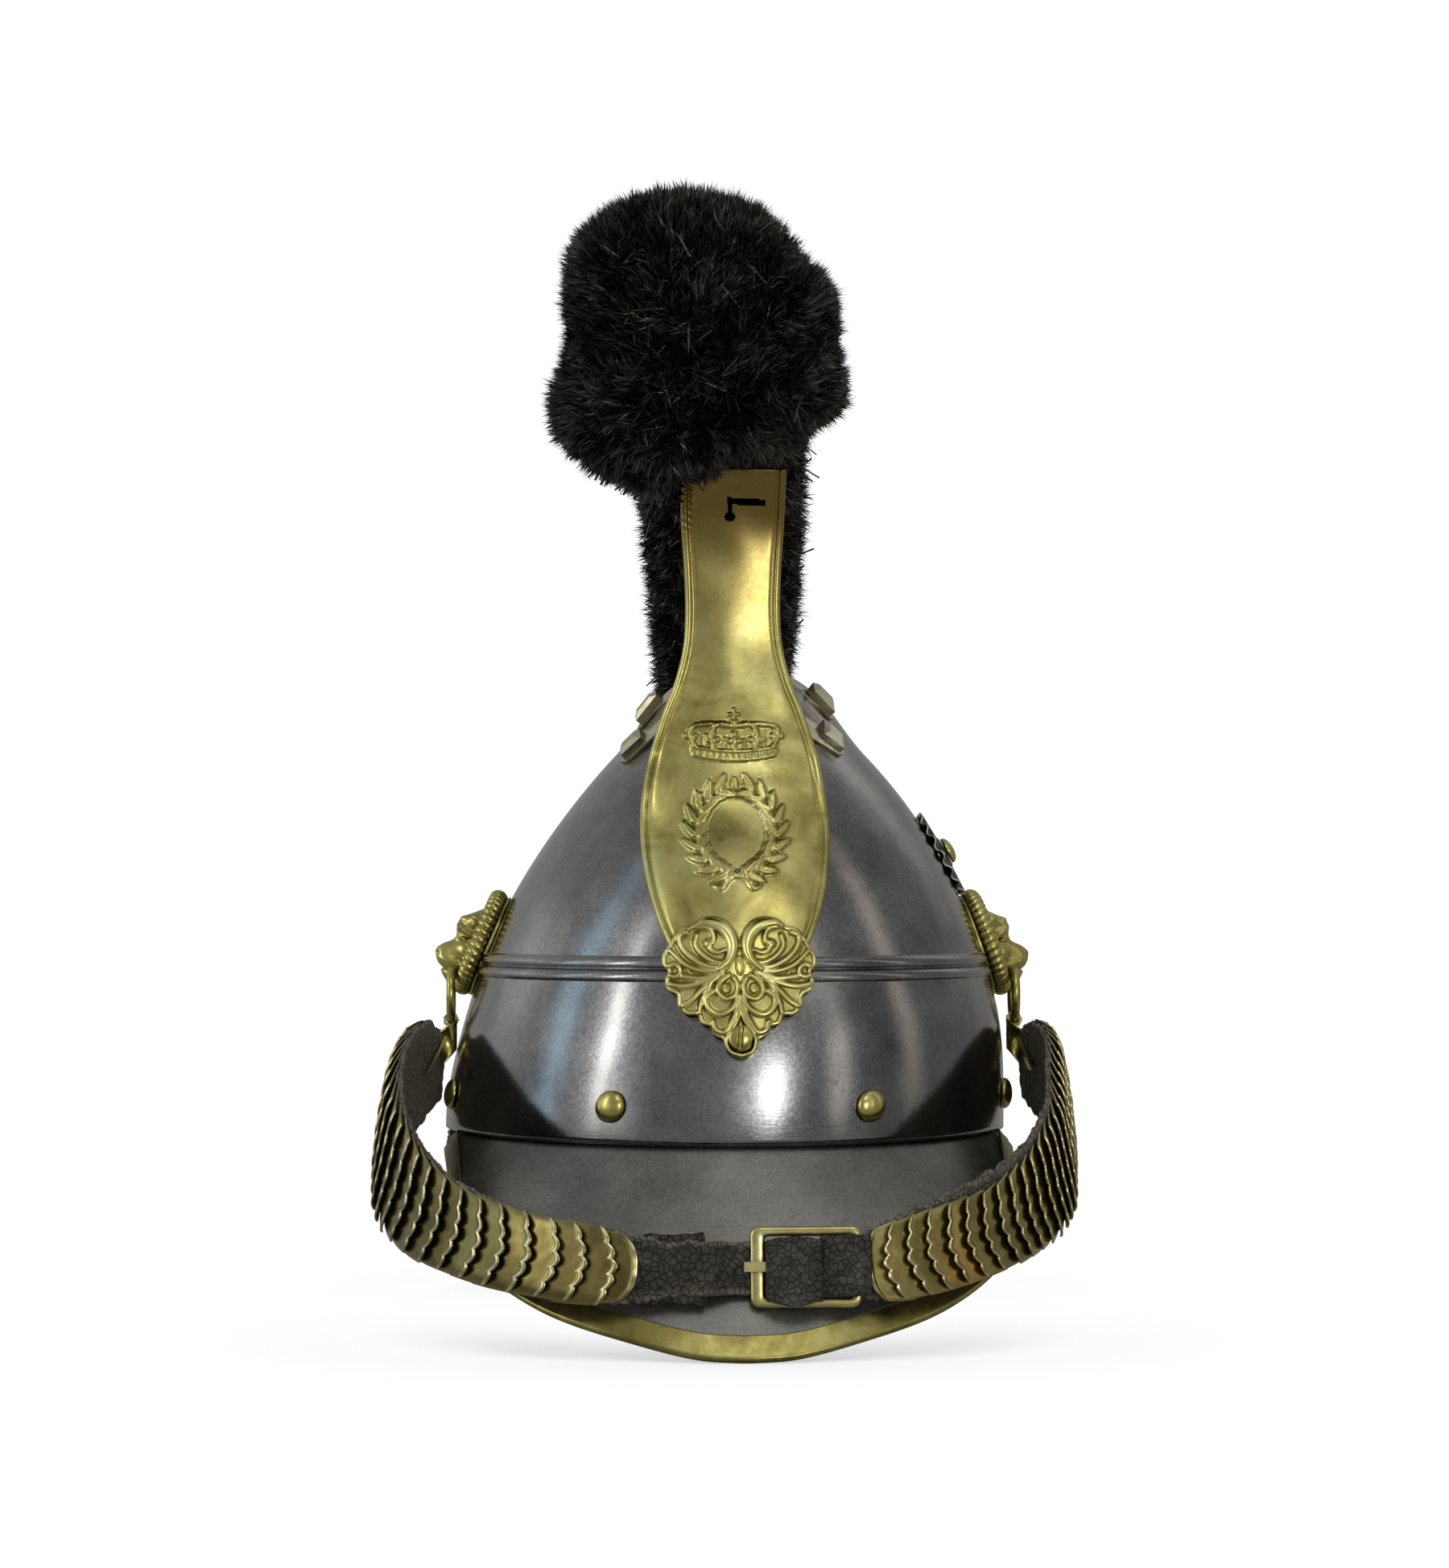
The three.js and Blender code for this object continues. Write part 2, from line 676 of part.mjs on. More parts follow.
// The lion's head as heights over a round boss; p runs across the face, q up it
const lionPlace = { turn: 92 * degree, height: 126 };
const lionRadius = 19.5;
const lionForms = [
  { p: 0, q: 0, high: 7, wide: 13 },
  { p: 0, q: 6.5, high: 4.5, wide: 5.5 },
  { p: 0, q: -2.5, high: 8.5, wide: 4.6 },
  { p: 4.4, q: -5, high: 3, wide: 3.2 },
  { p: -4.4, q: -5, high: 3, wide: 3.2 },
  { p: 5, q: 4.5, high: 2.6, wide: 2.4 },
  { p: -5, q: 4.5, high: 2.6, wide: 2.4 },
  { p: 0, q: -11, high: 4.5, wide: 3.6 },
  { p: 10, q: 8, high: 2.6, wide: 3 },
  { p: -10, q: 8, high: 2.6, wide: 3 },
];

function lionHeight(p, q) {
  const r = Math.hypot(p, q) / lionRadius;
  const bump = (form) => {
    const away = (p - form.p) ** 2 + (q - form.q) ** 2;
    return form.high * Math.exp(-away / (2 * (form.wide * 0.62) ** 2));
  };
  const face = lionForms.reduce((sum, form) => sum + bump(form), 0);
  const mane = 2.4 * Math.exp(-(((r - 0.66) / 0.12) ** 2)) * (0.6 + 0.4 * Math.cos(14 * Math.atan2(q, p)));
  const rope = 3.4 * Math.exp(-(((r - 0.93) / 0.09) ** 2));
  return 1 + face * (1 - smooth(0.75, 1, r)) + mane + rope;
}

const lionSides = 20;
const lionShares = [1, 0.93, 0.84, 0.66, 0.5, 0.36, 0.22, 0.1, 0];
const lionFoot = -9;

function lionBoss() {
  const ring = (share, height) => circle(lionRadius * share, 0, lionSides).map((point, i) => {
    const twist = share > 0.88 && share < 1 ? 0.7 * (i % 2) - 0.35 : 0;
    return point.setZ(height ?? lionHeight(point.x, point.y) + twist);
  });
  return loft([ring(0, lionFoot), ring(1, lionFoot), ...lionShares.map((share) => ring(share))]);
}

// A wire ring that stands upright in the lion's mouth
const ringPlace = { x: 97.7, y: -4, z: 109 };
const ringHalf = { y: 6.5, z: 8.5 };

function wireRing(wire, side) {
  const ring = loft(turnsAround(12).map((turn) => {
    const middle = vec(0, ringHalf.y * Math.cos(turn), ringHalf.z * Math.sin(turn));
    const out = vec(0, Math.cos(turn) / ringHalf.y, Math.sin(turn) / ringHalf.z).normalize();
    return circle(wire / 2, 0, 6).map((p) => middle.clone().addScaledVector(out, p.x).setX(p.y));
  }), true);
  return ring.translate(side * ringPlace.x + leanAt(ringPlace.z), ringPlace.y, ringPlace.z);
}

function lionHead(side) {
  const place = skullFrame(side * lionPlace.turn, lionPlace.height);
  const boss = lionBoss().applyMatrix4(place);
  return cut(boss, skullFat, wireRing(ringWire + 2 * gap, side));
}

const smoothCurve = (points) => new THREE.CatmullRomCurve3(points, false, 'centripetal');

// The strap's route on each side: middle line, reach above and below it
const strapRight = [
  { x: -98, y: -6, z: 85, up: 10, down: 12 },
  { x: -104, y: -20, z: 83.5, up: 17.5, down: 18 },
  { x: -110, y: -42, z: 75, up: 20, down: 20 },
  { x: -112.5, y: -66, z: 65, up: 19.5, down: 19.5 },
  { x: -110, y: -90, z: 54, up: 18, down: 18 },
  { x: -101, y: -112, z: 44, up: 15.5, down: 15 },
  { x: -86, y: -130, z: 37, up: 14, down: 13 },
  { x: -68, y: -142, z: 32.5, up: 13, down: 12.5 },
  { x: -48, y: -148.5, z: 29.5, up: 12, down: 12 },
  { x: -33, y: -150.8, z: 28.5, up: 10.5, down: 10.5 },
  { x: -24, y: -151.3, z: 28.4, up: 9, down: 9 },
  { x: -8, y: -151.6, z: 28.6, up: 8.4, down: 8.4 },
  { x: 10, y: -151.6, z: 28.8, up: 8.2, down: 8.2 },
  { x: 26, y: -151.6, z: 29, up: 8.2, down: 8.2 },
];
const strapLeft = [
  { x: 103, y: -6, z: 85, up: 10, down: 12 },
  { x: 107, y: -20, z: 83.5, up: 17.5, down: 18 },
  { x: 109.5, y: -42, z: 76, up: 20, down: 20 },
  { x: 107.5, y: -66, z: 66, up: 19.5, down: 19 },
  { x: 103.5, y: -90, z: 55, up: 19, down: 17.5 },
  { x: 94, y: -112, z: 46, up: 18, down: 15 },
  { x: 80, y: -130, z: 39, up: 17, down: 13 },
  { x: 63, y: -142, z: 34, up: 15.5, down: 12.5 },
  { x: 48, y: -148.5, z: 30.5, up: 13, down: 12 },
  { x: 38, y: -150.8, z: 29, up: 10.5, down: 10.5 },
  { x: 34, y: -151.4, z: 28.9, up: 8.6, down: 8.6 },
  { x: 27, y: -151.6, z: 29, up: 8.4, down: 8.4 },
];
const strapTilt = 0.14;

// The strap's frame along its route: place, direction, up and outward, with its reach
function strapFrames(rows, count) {
  const curve = smoothCurve(rows.map(({ x, y, z }) => vec(x, y, z)));
  const widths = smoothCurve(rows.map(({ up, down }) => vec(up, down, 0)));
  return steps(0, 1, count).map((t) => {
    const at = curve.getPoint(t);
    const along = curve.getTangent(t);
    const inward = vec(-at.x, -at.y, 0).normalize();
    const up = vec(0, 0, 1).addScaledVector(inward, strapTilt);
    up.addScaledVector(along, -up.dot(along)).normalize();
    const out = along.clone().cross(up);
    if (out.dot(inward) > 0) {
      out.negate();
    }
    const reach = widths.getPoint(t);
    return { at, along, up, out, above: reach.x, below: reach.y, t };
  });
}

function strapLeather(rows, count, grow = 0) {
  return loft(strapFrames(rows, count).map(({ at, up, out, above, below }) => {
    const corner = (side, face) => at.clone()
      .addScaledVector(up, side > 0 ? above + grow : -below - grow)
      .addScaledVector(out, face * (strapThickness / 2 + grow));
    return [corner(1, 1), corner(-1, 1), corner(-1, -1), corner(1, -1)];
  }));
}

const strapSteps = 22;

// The scales of one side, fused: each rises from under the next and ends in a scalloped edge
const scaleCount = 16;
const scaleAcross = steps(-1, 1, 6);
const scaleCrown = 1.2;
const scaleScallop = 0.22;
const scaleLift = 2.6;

function scaleRow(rows, fromT, toT) {
  const count = 400;
  const frames = strapFrames(rows, count);
  const at = (t) => frames[Math.round(Math.min(1, Math.max(0, t)) * count)];
  const span = (toT - fromT) / scaleCount;
  const floor = strapThickness / 2 + gap * 3;
  const point = (t, across, height) => {
    const frame = at(t);
    const reach = Math.min(frame.above, frame.below) - 1;
    const crown = height > 0 ? scaleCrown * (1 - across * across) : 0;
    return frame.at.clone()
      .addScaledVector(frame.up, across * reach)
      .addScaledVector(frame.out, floor + height + crown);
  };
  const scallop = (across) => scaleScallop * Math.abs(Math.cos(across * Math.PI * 1.5)) * span;
  const rings = [];
  for (let i = 0; i < scaleCount; i += 1) {
    const start = fromT + i * span;
    const lift = i === scaleCount - 1 ? 1 : scaleLift;
    for (const [share, height] of [[0.02, 0.5], [0.98, lift]]) {
      const line = scaleAcross.map((across) => {
        const edge = share < 0.5 && i === 0 ? 0 : scallop(across);
        return point(start + span * share + edge, across, height);
      });
      const back = [1, -1].map((across) => point(start + span * share, across, 0));
      rings.push([...line, ...back]);
    }
  }
  return loft(rings);
}

// The folded link between the ring and the leather: an eye round the wire and a leaf to the strap
function link(side) {
  const route = side < 0 ? strapRight : strapLeft;
  const eyeX = side * ringPlace.x + leanAt(ringPlace.z);
  const eyeAt = vec(eyeX, ringPlace.y, ringPlace.z - ringHalf.z);
  const inner = ringWire / 2 + gap;
  const shape = new THREE.Shape(circle(inner + 1, 0, 7));
  shape.holes.push(new THREE.Path(circle(inner, 0, 7)));
  const tube = new THREE.ExtrudeGeometry(shape, { depth: 4, steps: 1, bevelEnabled: false });
  tube.translate(0, 0, -2).rotateX(Math.PI / 2).translate(eyeAt.x, eyeAt.y, eyeAt.z);
  const foot = strapFrames(route, 40)[3];
  const seat = foot.at.clone().addScaledVector(foot.out, -(strapThickness / 2 + gap + 0.6));
  const top = eyeAt.clone().add(vec(0, 0, -inner - 0.4));
  const leaf = loft([0, 1].map((share) => {
    const middle = top.clone().lerp(seat, share);
    const half = 2 + 7 * share;
    const thick = foot.out.clone().multiplyScalar(0.5);
    const across = vec(0, half, 0);
    return [
      middle.clone().add(thick).add(across), middle.clone().add(thick).sub(across),
      middle.clone().sub(thick).sub(across), middle.clone().sub(thick).add(across),
    ];
  }));
  return cut(join(tube, leaf), strapLeather(route, 40, gap), wireRing(ringWire + 2 * gap, side));
}

// The buckle, in its own frame: x along the strap, y away from the leather, z up
const bucklePlace = vec(18.4, -151.6, 28.9);
const buckle = { length: 34.5, height: 25, top: 3, left: 4.6, right: 3, thickness: 2.2, corner: 2.5 };
const buckleTurn = -4.6 * degree;
const buckleLean = -strapTilt;

function buckleFrame(grow) {
  const [w, h] = [buckle.length / 2 + grow, buckle.height / 2 + grow];
  const r = buckle.corner;
  const outline = new THREE.Shape();
  outline.moveTo(-w + r, -h).lineTo(w - r, -h).absarc(w - r, -h + r, r, -Math.PI / 2, 0, false);
  outline.lineTo(w, h - r).absarc(w - r, h - r, r, 0, Math.PI / 2, false);
  outline.lineTo(-w + r, h).absarc(-w + r, h - r, r, Math.PI / 2, Math.PI, false);
  outline.lineTo(-w, -h + r).absarc(-w + r, -h + r, r, Math.PI, 1.5 * Math.PI, false);
  const left = -buckle.length / 2 + buckle.left + grow;
  const right = buckle.length / 2 - buckle.right - grow;
  const top = buckle.height / 2 - buckle.top - grow;
  outline.holes.push(new THREE.Path([
    new THREE.Vector2(left, -top),
    new THREE.Vector2(left, top),
    new THREE.Vector2(right, top),
    new THREE.Vector2(right, -top),
  ]));
  const depth = buckle.thickness + 2 * grow;
  const options = { depth, steps: 1, curveSegments: 3, bevelEnabled: false };
  return new THREE.ExtrudeGeometry(outline, options).translate(0, 0, -depth / 2).rotateX(Math.PI / 2);
}

// The tongue: an eye round the right bar, under the leather, up through its hole and on the left bar
function buckleTongue(grow) {
  const bar = buckle.length / 2 - buckle.right / 2;
  const eyeRadius = 3.3 + grow;
  const half = 1.5 + grow;
  const eye = new THREE.CylinderGeometry(eyeRadius, eyeRadius, half * 2, 8);
  eye.rotateX(Math.PI / 2).translate(bar, 0, 0);
  const line = [[bar - 2, 2.6], [4, 2.9], [-7, 2.8], [-12.4, -2.3], [-19, -2.4]];
  const last = line.length - 1;
  const shaft = loft(line.map(([x, y], i) => {
    const t = (i === last ? 0.55 : 0.75) + grow;
    const end = i === last ? x - grow : x;
    return [vec(end, y - t, half), vec(end, y + t, half), vec(end, y + t, -half), vec(end, y - t, -half)];
  }));
  return join(eye, shaft);
}

function placeBuckle(geometry) {
  const { x, y, z } = bucklePlace;
  return geometry.rotateZ(buckleTurn).rotateX(buckleLean).translate(x, y, z);
}

// The left half's end: leather folded back round the buckle's right bar, with a slot for the tongue
function strapFold() {
  const fold = placeBuckle(boxAt(8.4, 5.2, 16.8, buckle.length / 2 - 3.3, 0, 0));
  const leather = join(strapLeather(strapLeft, strapSteps), fold);
  return cut(leather, placeBuckle(buckleTongue(gap)), placeBuckle(buckleFrame(gap)));
}

// The crest: a roll of fur along a path, thick in front, with locks as ridges on its skin
const crestRows = [
  { x: -13, y: -116, z: 318, radius: 20, tall: 22 },
  { x: -13, y: -104, z: 318, radius: 41, tall: 44 },
  { x: -12.5, y: -84, z: 323, radius: 49, tall: 51 },
  { x: -11, y: -58, z: 328, radius: 48, tall: 49 },
  { x: -8, y: -34, z: 322, radius: 38, tall: 38 },
  { x: -4, y: -8, z: 303, radius: 31, tall: 31 },
  { x: 0, y: 20, z: 283, radius: 28.5, tall: 29 },
  { x: 2, y: 46, z: 261, radius: 27, tall: 28 },
  { x: 3, y: 72, z: 234, radius: 25, tall: 27 },
  { x: 3, y: 95, z: 203, radius: 23, tall: 25 },
  { x: 2, y: 110, z: 176, radius: 20, tall: 22 },
  { x: 1, y: 120, z: 152, radius: 14, tall: 14 },
];
// How the ball bulges and is nipped in, by turn from the wearer's left up and over
const crestLobes = [
  { turn: -90, out: 0 }, { turn: -60, out: 0 }, { turn: -40, out: -5 }, { turn: -22, out: 2.5 },
  { turn: -9, out: -1 }, { turn: 0, out: -3.5 }, { turn: 20, out: -2 }, { turn: 41, out: -5 },
  { turn: 60, out: -3 }, { turn: 90, out: -1 }, { turn: 121, out: 2 }, { turn: 142, out: 2 },
  { turn: 163, out: -4 }, { turn: 180, out: -6.5 }, { turn: 190, out: -3.5 }, { turn: 199, out: 1.5 },
  { turn: 212, out: 5 }, { turn: 230, out: 2.5 }, { turn: 246, out: 1 }, { turn: 270, out: 0 },
];
const crestSides = 15;
const crestSteps = 13;
const lockDepth = 2.2;

function crest() {
  const path = smoothCurve(crestRows.map(({ x, y, z }) => vec(x, y, z)));
  const sizes = smoothCurve(crestRows.map(({ radius, tall }) => vec(radius, tall, 0)));
  const side = vec(1, 0, 0);
  const rings = steps(0, 1, crestSteps).map((t, i) => {
    const up = side.clone().cross(path.getTangent(t)).normalize();
    const size = sizes.getPoint(t);
    return turnsAround(crestSides).map((a, j) => {
      const lock = lockDepth * ((i + j) % 2 ? 1 : -0.4);
      const turn = ((a / degree + 90) % 360) - 90;
      const out = lock + tableValue(crestLobes, 'turn', turn, 'out') * smooth(0.5, 0.25, t);
      return path.getPoint(t)
        .addScaledVector(side, (size.x + out) * Math.cos(a))
        .addScaledVector(up, (size.y + out) * Math.sin(a));
    });
  });
  const tip = (ring, push) => {
    const middle = ring.reduce((sum, p) => sum.add(p), vec(0, 0, 0)).divideScalar(ring.length);
    return ring.map(() => middle.clone().add(push));
  };
  rings.unshift(tip(rings[0], vec(0, -6, 0)));
  rings.push(tip(rings[rings.length - 1], vec(0, 3, -6)));
  return cut(loft(rings), combBody(gap * 3), skullFat, plateFat);
}

const helmet = new THREE.Group();

function add(name, geometry, finish) {
  const mesh = new THREE.Mesh(geometry, new THREE.MeshStandardMaterial(finishes[finish]));
  mesh.name = name;
  helmet.add(mesh);
  return mesh;
}

function place(mesh, matrix) {
  matrix.decompose(mesh.position, mesh.quaternion, mesh.scale);
}

add('skull', skullShell(0, true), 'steel');
add('peak', skirt(peakRows, 0, 26), 'satinSteel');
add('peak_trim', skirtTrim(peakRows, 0, 26), 'brass');
add('neck_guard', skirt(guardRows, Math.PI, 20), 'satinSteel');
add('neck_guard_trim', skirtTrim(guardRows, Math.PI, 20), 'brass');
add('comb', comb(), 'brass');
add('front_plate', frontPlate(), 'brass');
add('palmette', palmette(), 'brass');
add('crest', crest(), 'fur');

const screwPlace = skullFrame(turnAt(0, screwHeight), screwHeight, palmetteLift + screwSeat);
place(add('palmette_screw', screwHead(3.9, 1.8), 'brass'), screwPlace);

for (const row of footRows) {
  add(`comb_foot_${row.name}`, combFoot(row), 'brass');
}

for (let i = 0; i < studCount; i += 1) {
  const turn = ((i + 0.5) * 360 / studCount) * degree;
  place(add(`stud_${i + 1}`, dome(studRadius, studRise), 'brass'), skullFrame(turn, studHeight, gap));
}

const cockadeFrame = skullFrame(cockadePlace.turn, cockadePlace.height);
add('cockade', cut(cockade().applyMatrix4(cockadeFrame), skullFat), 'steel');
const buttonPlace = skullFrame(cockadePlace.turn, cockadePlace.height, cockadeThickness + gap);
place(add('cockade_button', dome(4.6, 2.6), 'brass'), buttonPlace);

for (const [name, side] of [['right', -1], ['left', 1]]) {
  add(`lion_${name}`, lionHead(side), 'brass');
  add(`ring_${name}`, wireRing(ringWire, side), 'brass');
  add(`link_${name}`, link(side), 'brass');
}

add('buckle_frame', placeBuckle(buckleFrame(0)), 'brass');
add('buckle_tongue', placeBuckle(cut(buckleTongue(0), buckleFrame(gap))), 'brass');
const rightLeather = strapLeather(strapRight, strapSteps);
const buckleRoom = [placeBuckle(buckleTongue(gap)), placeBuckle(buckleFrame(gap))];
add('strap_right', cut(rightLeather, ...buckleRoom), 'leather');
add('strap_left', strapFold(), 'leather');
add('scales_right', scaleRow(strapRight, 0.05, 0.69), 'brass');
add('scales_left', scaleRow(strapLeft, 0.05, 0.82), 'brass');

export default helmet;
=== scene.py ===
# Cavalry helmet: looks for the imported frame. Metres, +Z up, front towards -Y, wearer's left towards +X.
import math
import bpy
import numpy as np
from mathutils import Matrix


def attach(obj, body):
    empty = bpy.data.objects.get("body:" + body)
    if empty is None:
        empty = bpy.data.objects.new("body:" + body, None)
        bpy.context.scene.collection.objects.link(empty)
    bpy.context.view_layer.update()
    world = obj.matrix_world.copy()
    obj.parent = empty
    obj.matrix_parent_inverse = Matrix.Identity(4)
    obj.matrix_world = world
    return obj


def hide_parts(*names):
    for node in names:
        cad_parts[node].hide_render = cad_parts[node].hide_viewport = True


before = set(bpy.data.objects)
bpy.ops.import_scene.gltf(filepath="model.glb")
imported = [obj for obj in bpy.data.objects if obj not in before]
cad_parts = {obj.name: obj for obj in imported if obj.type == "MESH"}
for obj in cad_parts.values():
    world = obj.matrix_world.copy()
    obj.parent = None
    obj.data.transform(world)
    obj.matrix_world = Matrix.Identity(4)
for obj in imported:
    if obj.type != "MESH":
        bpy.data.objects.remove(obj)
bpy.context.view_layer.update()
mm = 0.001
print("frame loaded")


# Numbers and curves, in millimetres
def smooth(low, high, at):
    t = np.clip((at - low) / (high - low), 0, 1)
    return t * t * (3 - 2 * t)


def tableValue(rows, column, at, value):
    x = np.array([row[column] for row in rows], float)
    y = np.array([row[value] for row in rows], float)
    index = np.arange(len(x))
    low, high = np.maximum(index - 1, 0), np.minimum(index + 1, len(x) - 1)
    slope = (y[high] - y[low]) / (x[high] - x[low])
    at = np.clip(np.asarray(at, float), x[0], x[-1])
    i = np.clip(np.searchsorted(x, at, side="right") - 1, 0, len(x) - 2)
    span = x[i + 1] - x[i]
    t = (at - x[i]) / span
    start = (2 * t**3 - 3 * t**2 + 1) * y[i] + (t**3 - 2 * t**2 + t) * slope[i] * span
    return start + (3 * t**2 - 2 * t**3) * y[i + 1] + (t**3 - t**2) * slope[i + 1] * span


def throughPoints(points, t):  # a smooth curve through rows of numbers, t from 0 to 1
    p = np.asarray(points, float)
    p = np.vstack([2 * p[0] - p[1], p, 2 * p[-1] - p[-2]])
    at = np.clip(np.asarray(t, float), 0, 1) * (len(p) - 3)
    i = np.minimum(at.astype(int), len(p) - 4)
    w = (at - i)[:, None]
    p0, p1, p2, p3 = p[i], p[i + 1], p[i + 2], p[i + 3]
    d0, d1, d2 = [np.maximum(np.sum((b - a) ** 2, axis=1), 1e-6)[:, None] ** 0.25
                  for a, b in ((p0, p1), (p1, p2), (p2, p3))]
    t1 = ((p1 - p0) / d0 - (p2 - p0) / (d0 + d1) + (p2 - p1) / d1) * d1
    t2 = ((p2 - p1) / d1 - (p3 - p1) / (d1 + d2) + (p3 - p2) / d2) * d1
    a = (2 * w**3 - 3 * w**2 + 1) * p1 + (w**3 - 2 * w**2 + w) * t1
    return a + (3 * w**2 - 2 * w**3) * p2 + (w**3 - w**2) * t2


def power(v, e):  # keeps the sign
    return np.sign(v) * np.abs(v) ** e


def unit(v):
    return v / np.maximum(np.linalg.norm(v, axis=-1, keepdims=True), 1e-9)


def waves(p, size, seed, count=7):  # soft noise between about -1 and 1
    rng = np.random.default_rng(seed)
    total = np.zeros(p.shape[:-1])
    for i in range(count):
        direction = unit(rng.normal(size=p.shape[-1])) * (2 * math.pi / size) * rng.uniform(0.6, 1.6)
        total += np.sin(p @ direction + rng.uniform(0, 2 * math.pi))
    return total / math.sqrt(count)


# Meshes
def gridFaces(rows, columns, closeRows=False, closeColumns=False, start=0):
    i = np.arange(rows if closeRows else rows - 1)[:, None]
    j = np.arange(columns if closeColumns else columns - 1)[None, :]
    i2, j2 = (i + 1) % rows, (j + 1) % columns
    corners = i * columns + j, i * columns + j2, i2 * columns + j2, i2 * columns + j
    return np.stack(np.broadcast_arrays(*corners), -1).reshape(-1, 4) + start


def makeMesh(name, points, faceSets):
    points = np.asarray(points, np.float32).reshape(-1, 3) * mm
    mesh = bpy.data.meshes.new(name)
    mesh.vertices.add(len(points))
    mesh.vertices.foreach_set("co", points.ravel())
    loops = np.concatenate([f.reshape(-1) for f in faceSets]).astype(np.int32)
    sizes = np.concatenate([np.full(len(f), f.shape[1]) for f in faceSets])
    mesh.loops.add(len(loops))
    mesh.loops.foreach_set("vertex_index", loops)
    mesh.polygons.add(len(sizes))
    mesh.polygons.foreach_set("loop_start", (np.cumsum(sizes) - sizes).astype(np.int32))
    mesh.update(calc_edges=True)
    mesh.validate()
    mesh.polygons.foreach_set("use_smooth", np.ones(len(mesh.polygons), bool))
    return mesh


def addPiece(name, mesh, material, nodes=()):
    piece = bpy.data.objects.new(name, mesh)
    bpy.context.collection.objects.link(piece)
    mesh.materials.append(material)
    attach(piece, "root")
    if nodes:
        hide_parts(*nodes)
    return piece


def addValues(mesh, name, values):
    layer = mesh.attributes.new(name, "FLOAT", "POINT")
    layer.data.foreach_set("value", np.asarray(values, np.float32).ravel())


def tubeMesh(name, grid, closeRows=False, inward=False):  # a grid whose columns close into a ring
    faces = gridFaces(*grid.shape[:2], closeRows=closeRows, closeColumns=True)
    return makeMesh(name, grid, [faces[:, ::-1] if inward else faces])


def softenNode(node, width, segments, angle, material):  # a solid of the frame, its edges rounded
    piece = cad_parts[node]
    soft = piece.modifiers.new("softEdges", "BEVEL")
    soft.width, soft.segments = width * mm, segments
    soft.limit_method, soft.angle_limit = "ANGLE", math.radians(angle)
    piece.data.materials.clear()
    piece.data.materials.append(material)


def shellPoints(outer, inner):  # two open grids of the same size and the strips that join their edges
    rows, columns = outer.shape[:2]
    points = np.concatenate([outer.reshape(-1, 3), inner.reshape(-1, 3)])
    n = rows * columns
    front = gridFaces(rows, columns)
    back = gridFaces(rows, columns, start=n)[:, ::-1]
    index = np.arange(n).reshape(rows, columns)
    edge = np.concatenate([index[0, :-1], index[:-1, -1], index[-1, :0:-1], index[:0:-1, 0]])
    after = np.roll(edge, -1)
    rim = np.stack([edge, edge + n, after + n, after], -1)
    return points, [front, back, rim]


# Materials
def setValue(node, name, value):
    node.inputs[name].default_value = value


class Nodes:
    def __init__(self, tree):
        self.tree = tree

    def add(self, kind, **settings):
        node = self.tree.nodes.new(kind)
        for key, value in settings.items():
            setattr(node, key, value)
        return node

    def link(self, source, node, name):
        self.tree.links.new(source, node.inputs[name])

    def feed(self, socket, value):  # a link, a colour or a number
        if isinstance(value, bpy.types.NodeSocket):
            self.tree.links.new(value, socket)
        else:
            socket.default_value = (*value, 1) if isinstance(value, tuple) else value

    def mix(self, amount, a, b, blend="MIX"):
        node = self.add("ShaderNodeMix", data_type="RGBA", blend_type=blend)
        for index, value in ((0, amount), (6, a), (7, b)):
            self.feed(node.inputs[index], value)
        return node.outputs[2]

    def math(self, operation, a, b=0.0):
        node = self.add("ShaderNodeMath", operation=operation)
        self.feed(node.inputs[0], a)
        self.feed(node.inputs[1], b)
        return node.outputs[0]

    def mixShader(self, a, b):  # b is what the camera sees
        node = self.add("ShaderNodeMixShader")
        self.link(self.add("ShaderNodeLightPath").outputs["Is Camera Ray"], node, 0)
        self.link(a, node, 1)
        self.link(b, node, 2)
        return node.outputs[0]


class Shader(Nodes):
    def __init__(self, name):
        self.material = bpy.data.materials.new(name)
        self.material.use_nodes = True
        super().__init__(self.material.node_tree)
        self.surface = self.tree.nodes["Principled BSDF"]
        self.place = self.add("ShaderNodeTexCoord").outputs["Object"]

    def mapped(self, scale):
        node = self.add("ShaderNodeMapping")
        setValue(node, "Scale", scale)
        self.link(self.place, node, "Vector")
        return node.outputs["Vector"]

    def noise(self, size, detail=4, rough=0.55, stretch=(1, 1, 1), distortion=0):
        node = self.add("ShaderNodeTexNoise")
        self.link(self.mapped([s / size for s in stretch]), node, "Vector")
        setValue(node, "Scale", 1000)
        setValue(node, "Detail", detail)
        setValue(node, "Roughness", rough)
        setValue(node, "Distortion", distortion)
        return node.outputs["Fac"]

    def cells(self, size):
        node = self.add("ShaderNodeTexVoronoi", feature="DISTANCE_TO_EDGE")
        self.link(self.mapped([1 / size] * 3), node, "Vector")
        setValue(node, "Scale", 1000)
        return node.outputs["Distance"]

    def ramp(self, source, *stops):
        node = self.add("ShaderNodeValToRGB")
        while len(node.color_ramp.elements) < len(stops):
            node.color_ramp.elements.new(0.5)
        for element, (position, colour) in zip(node.color_ramp.elements, stops):
            element.position = position
            element.color = (*(colour if isinstance(colour, tuple) else [colour] * 3), 1)
        self.link(source, node, "Fac")
        return node.outputs["Color"]

    def attribute(self, name):
        return self.add("ShaderNodeAttribute", attribute_name=name).outputs["Fac"]

    def crevice(self, distance):
        node = self.add("ShaderNodeAmbientOcclusion", samples=6)
        setValue(node, "Distance", distance * mm)
        return node.outputs["AO"]

    def bump(self, source, strength, depth):
        node = self.add("ShaderNodeBump")
        setValue(node, "Strength", strength)
        setValue(node, "Distance", depth * mm)
        self.link(source, node, "Height")
        return node.outputs["Normal"]


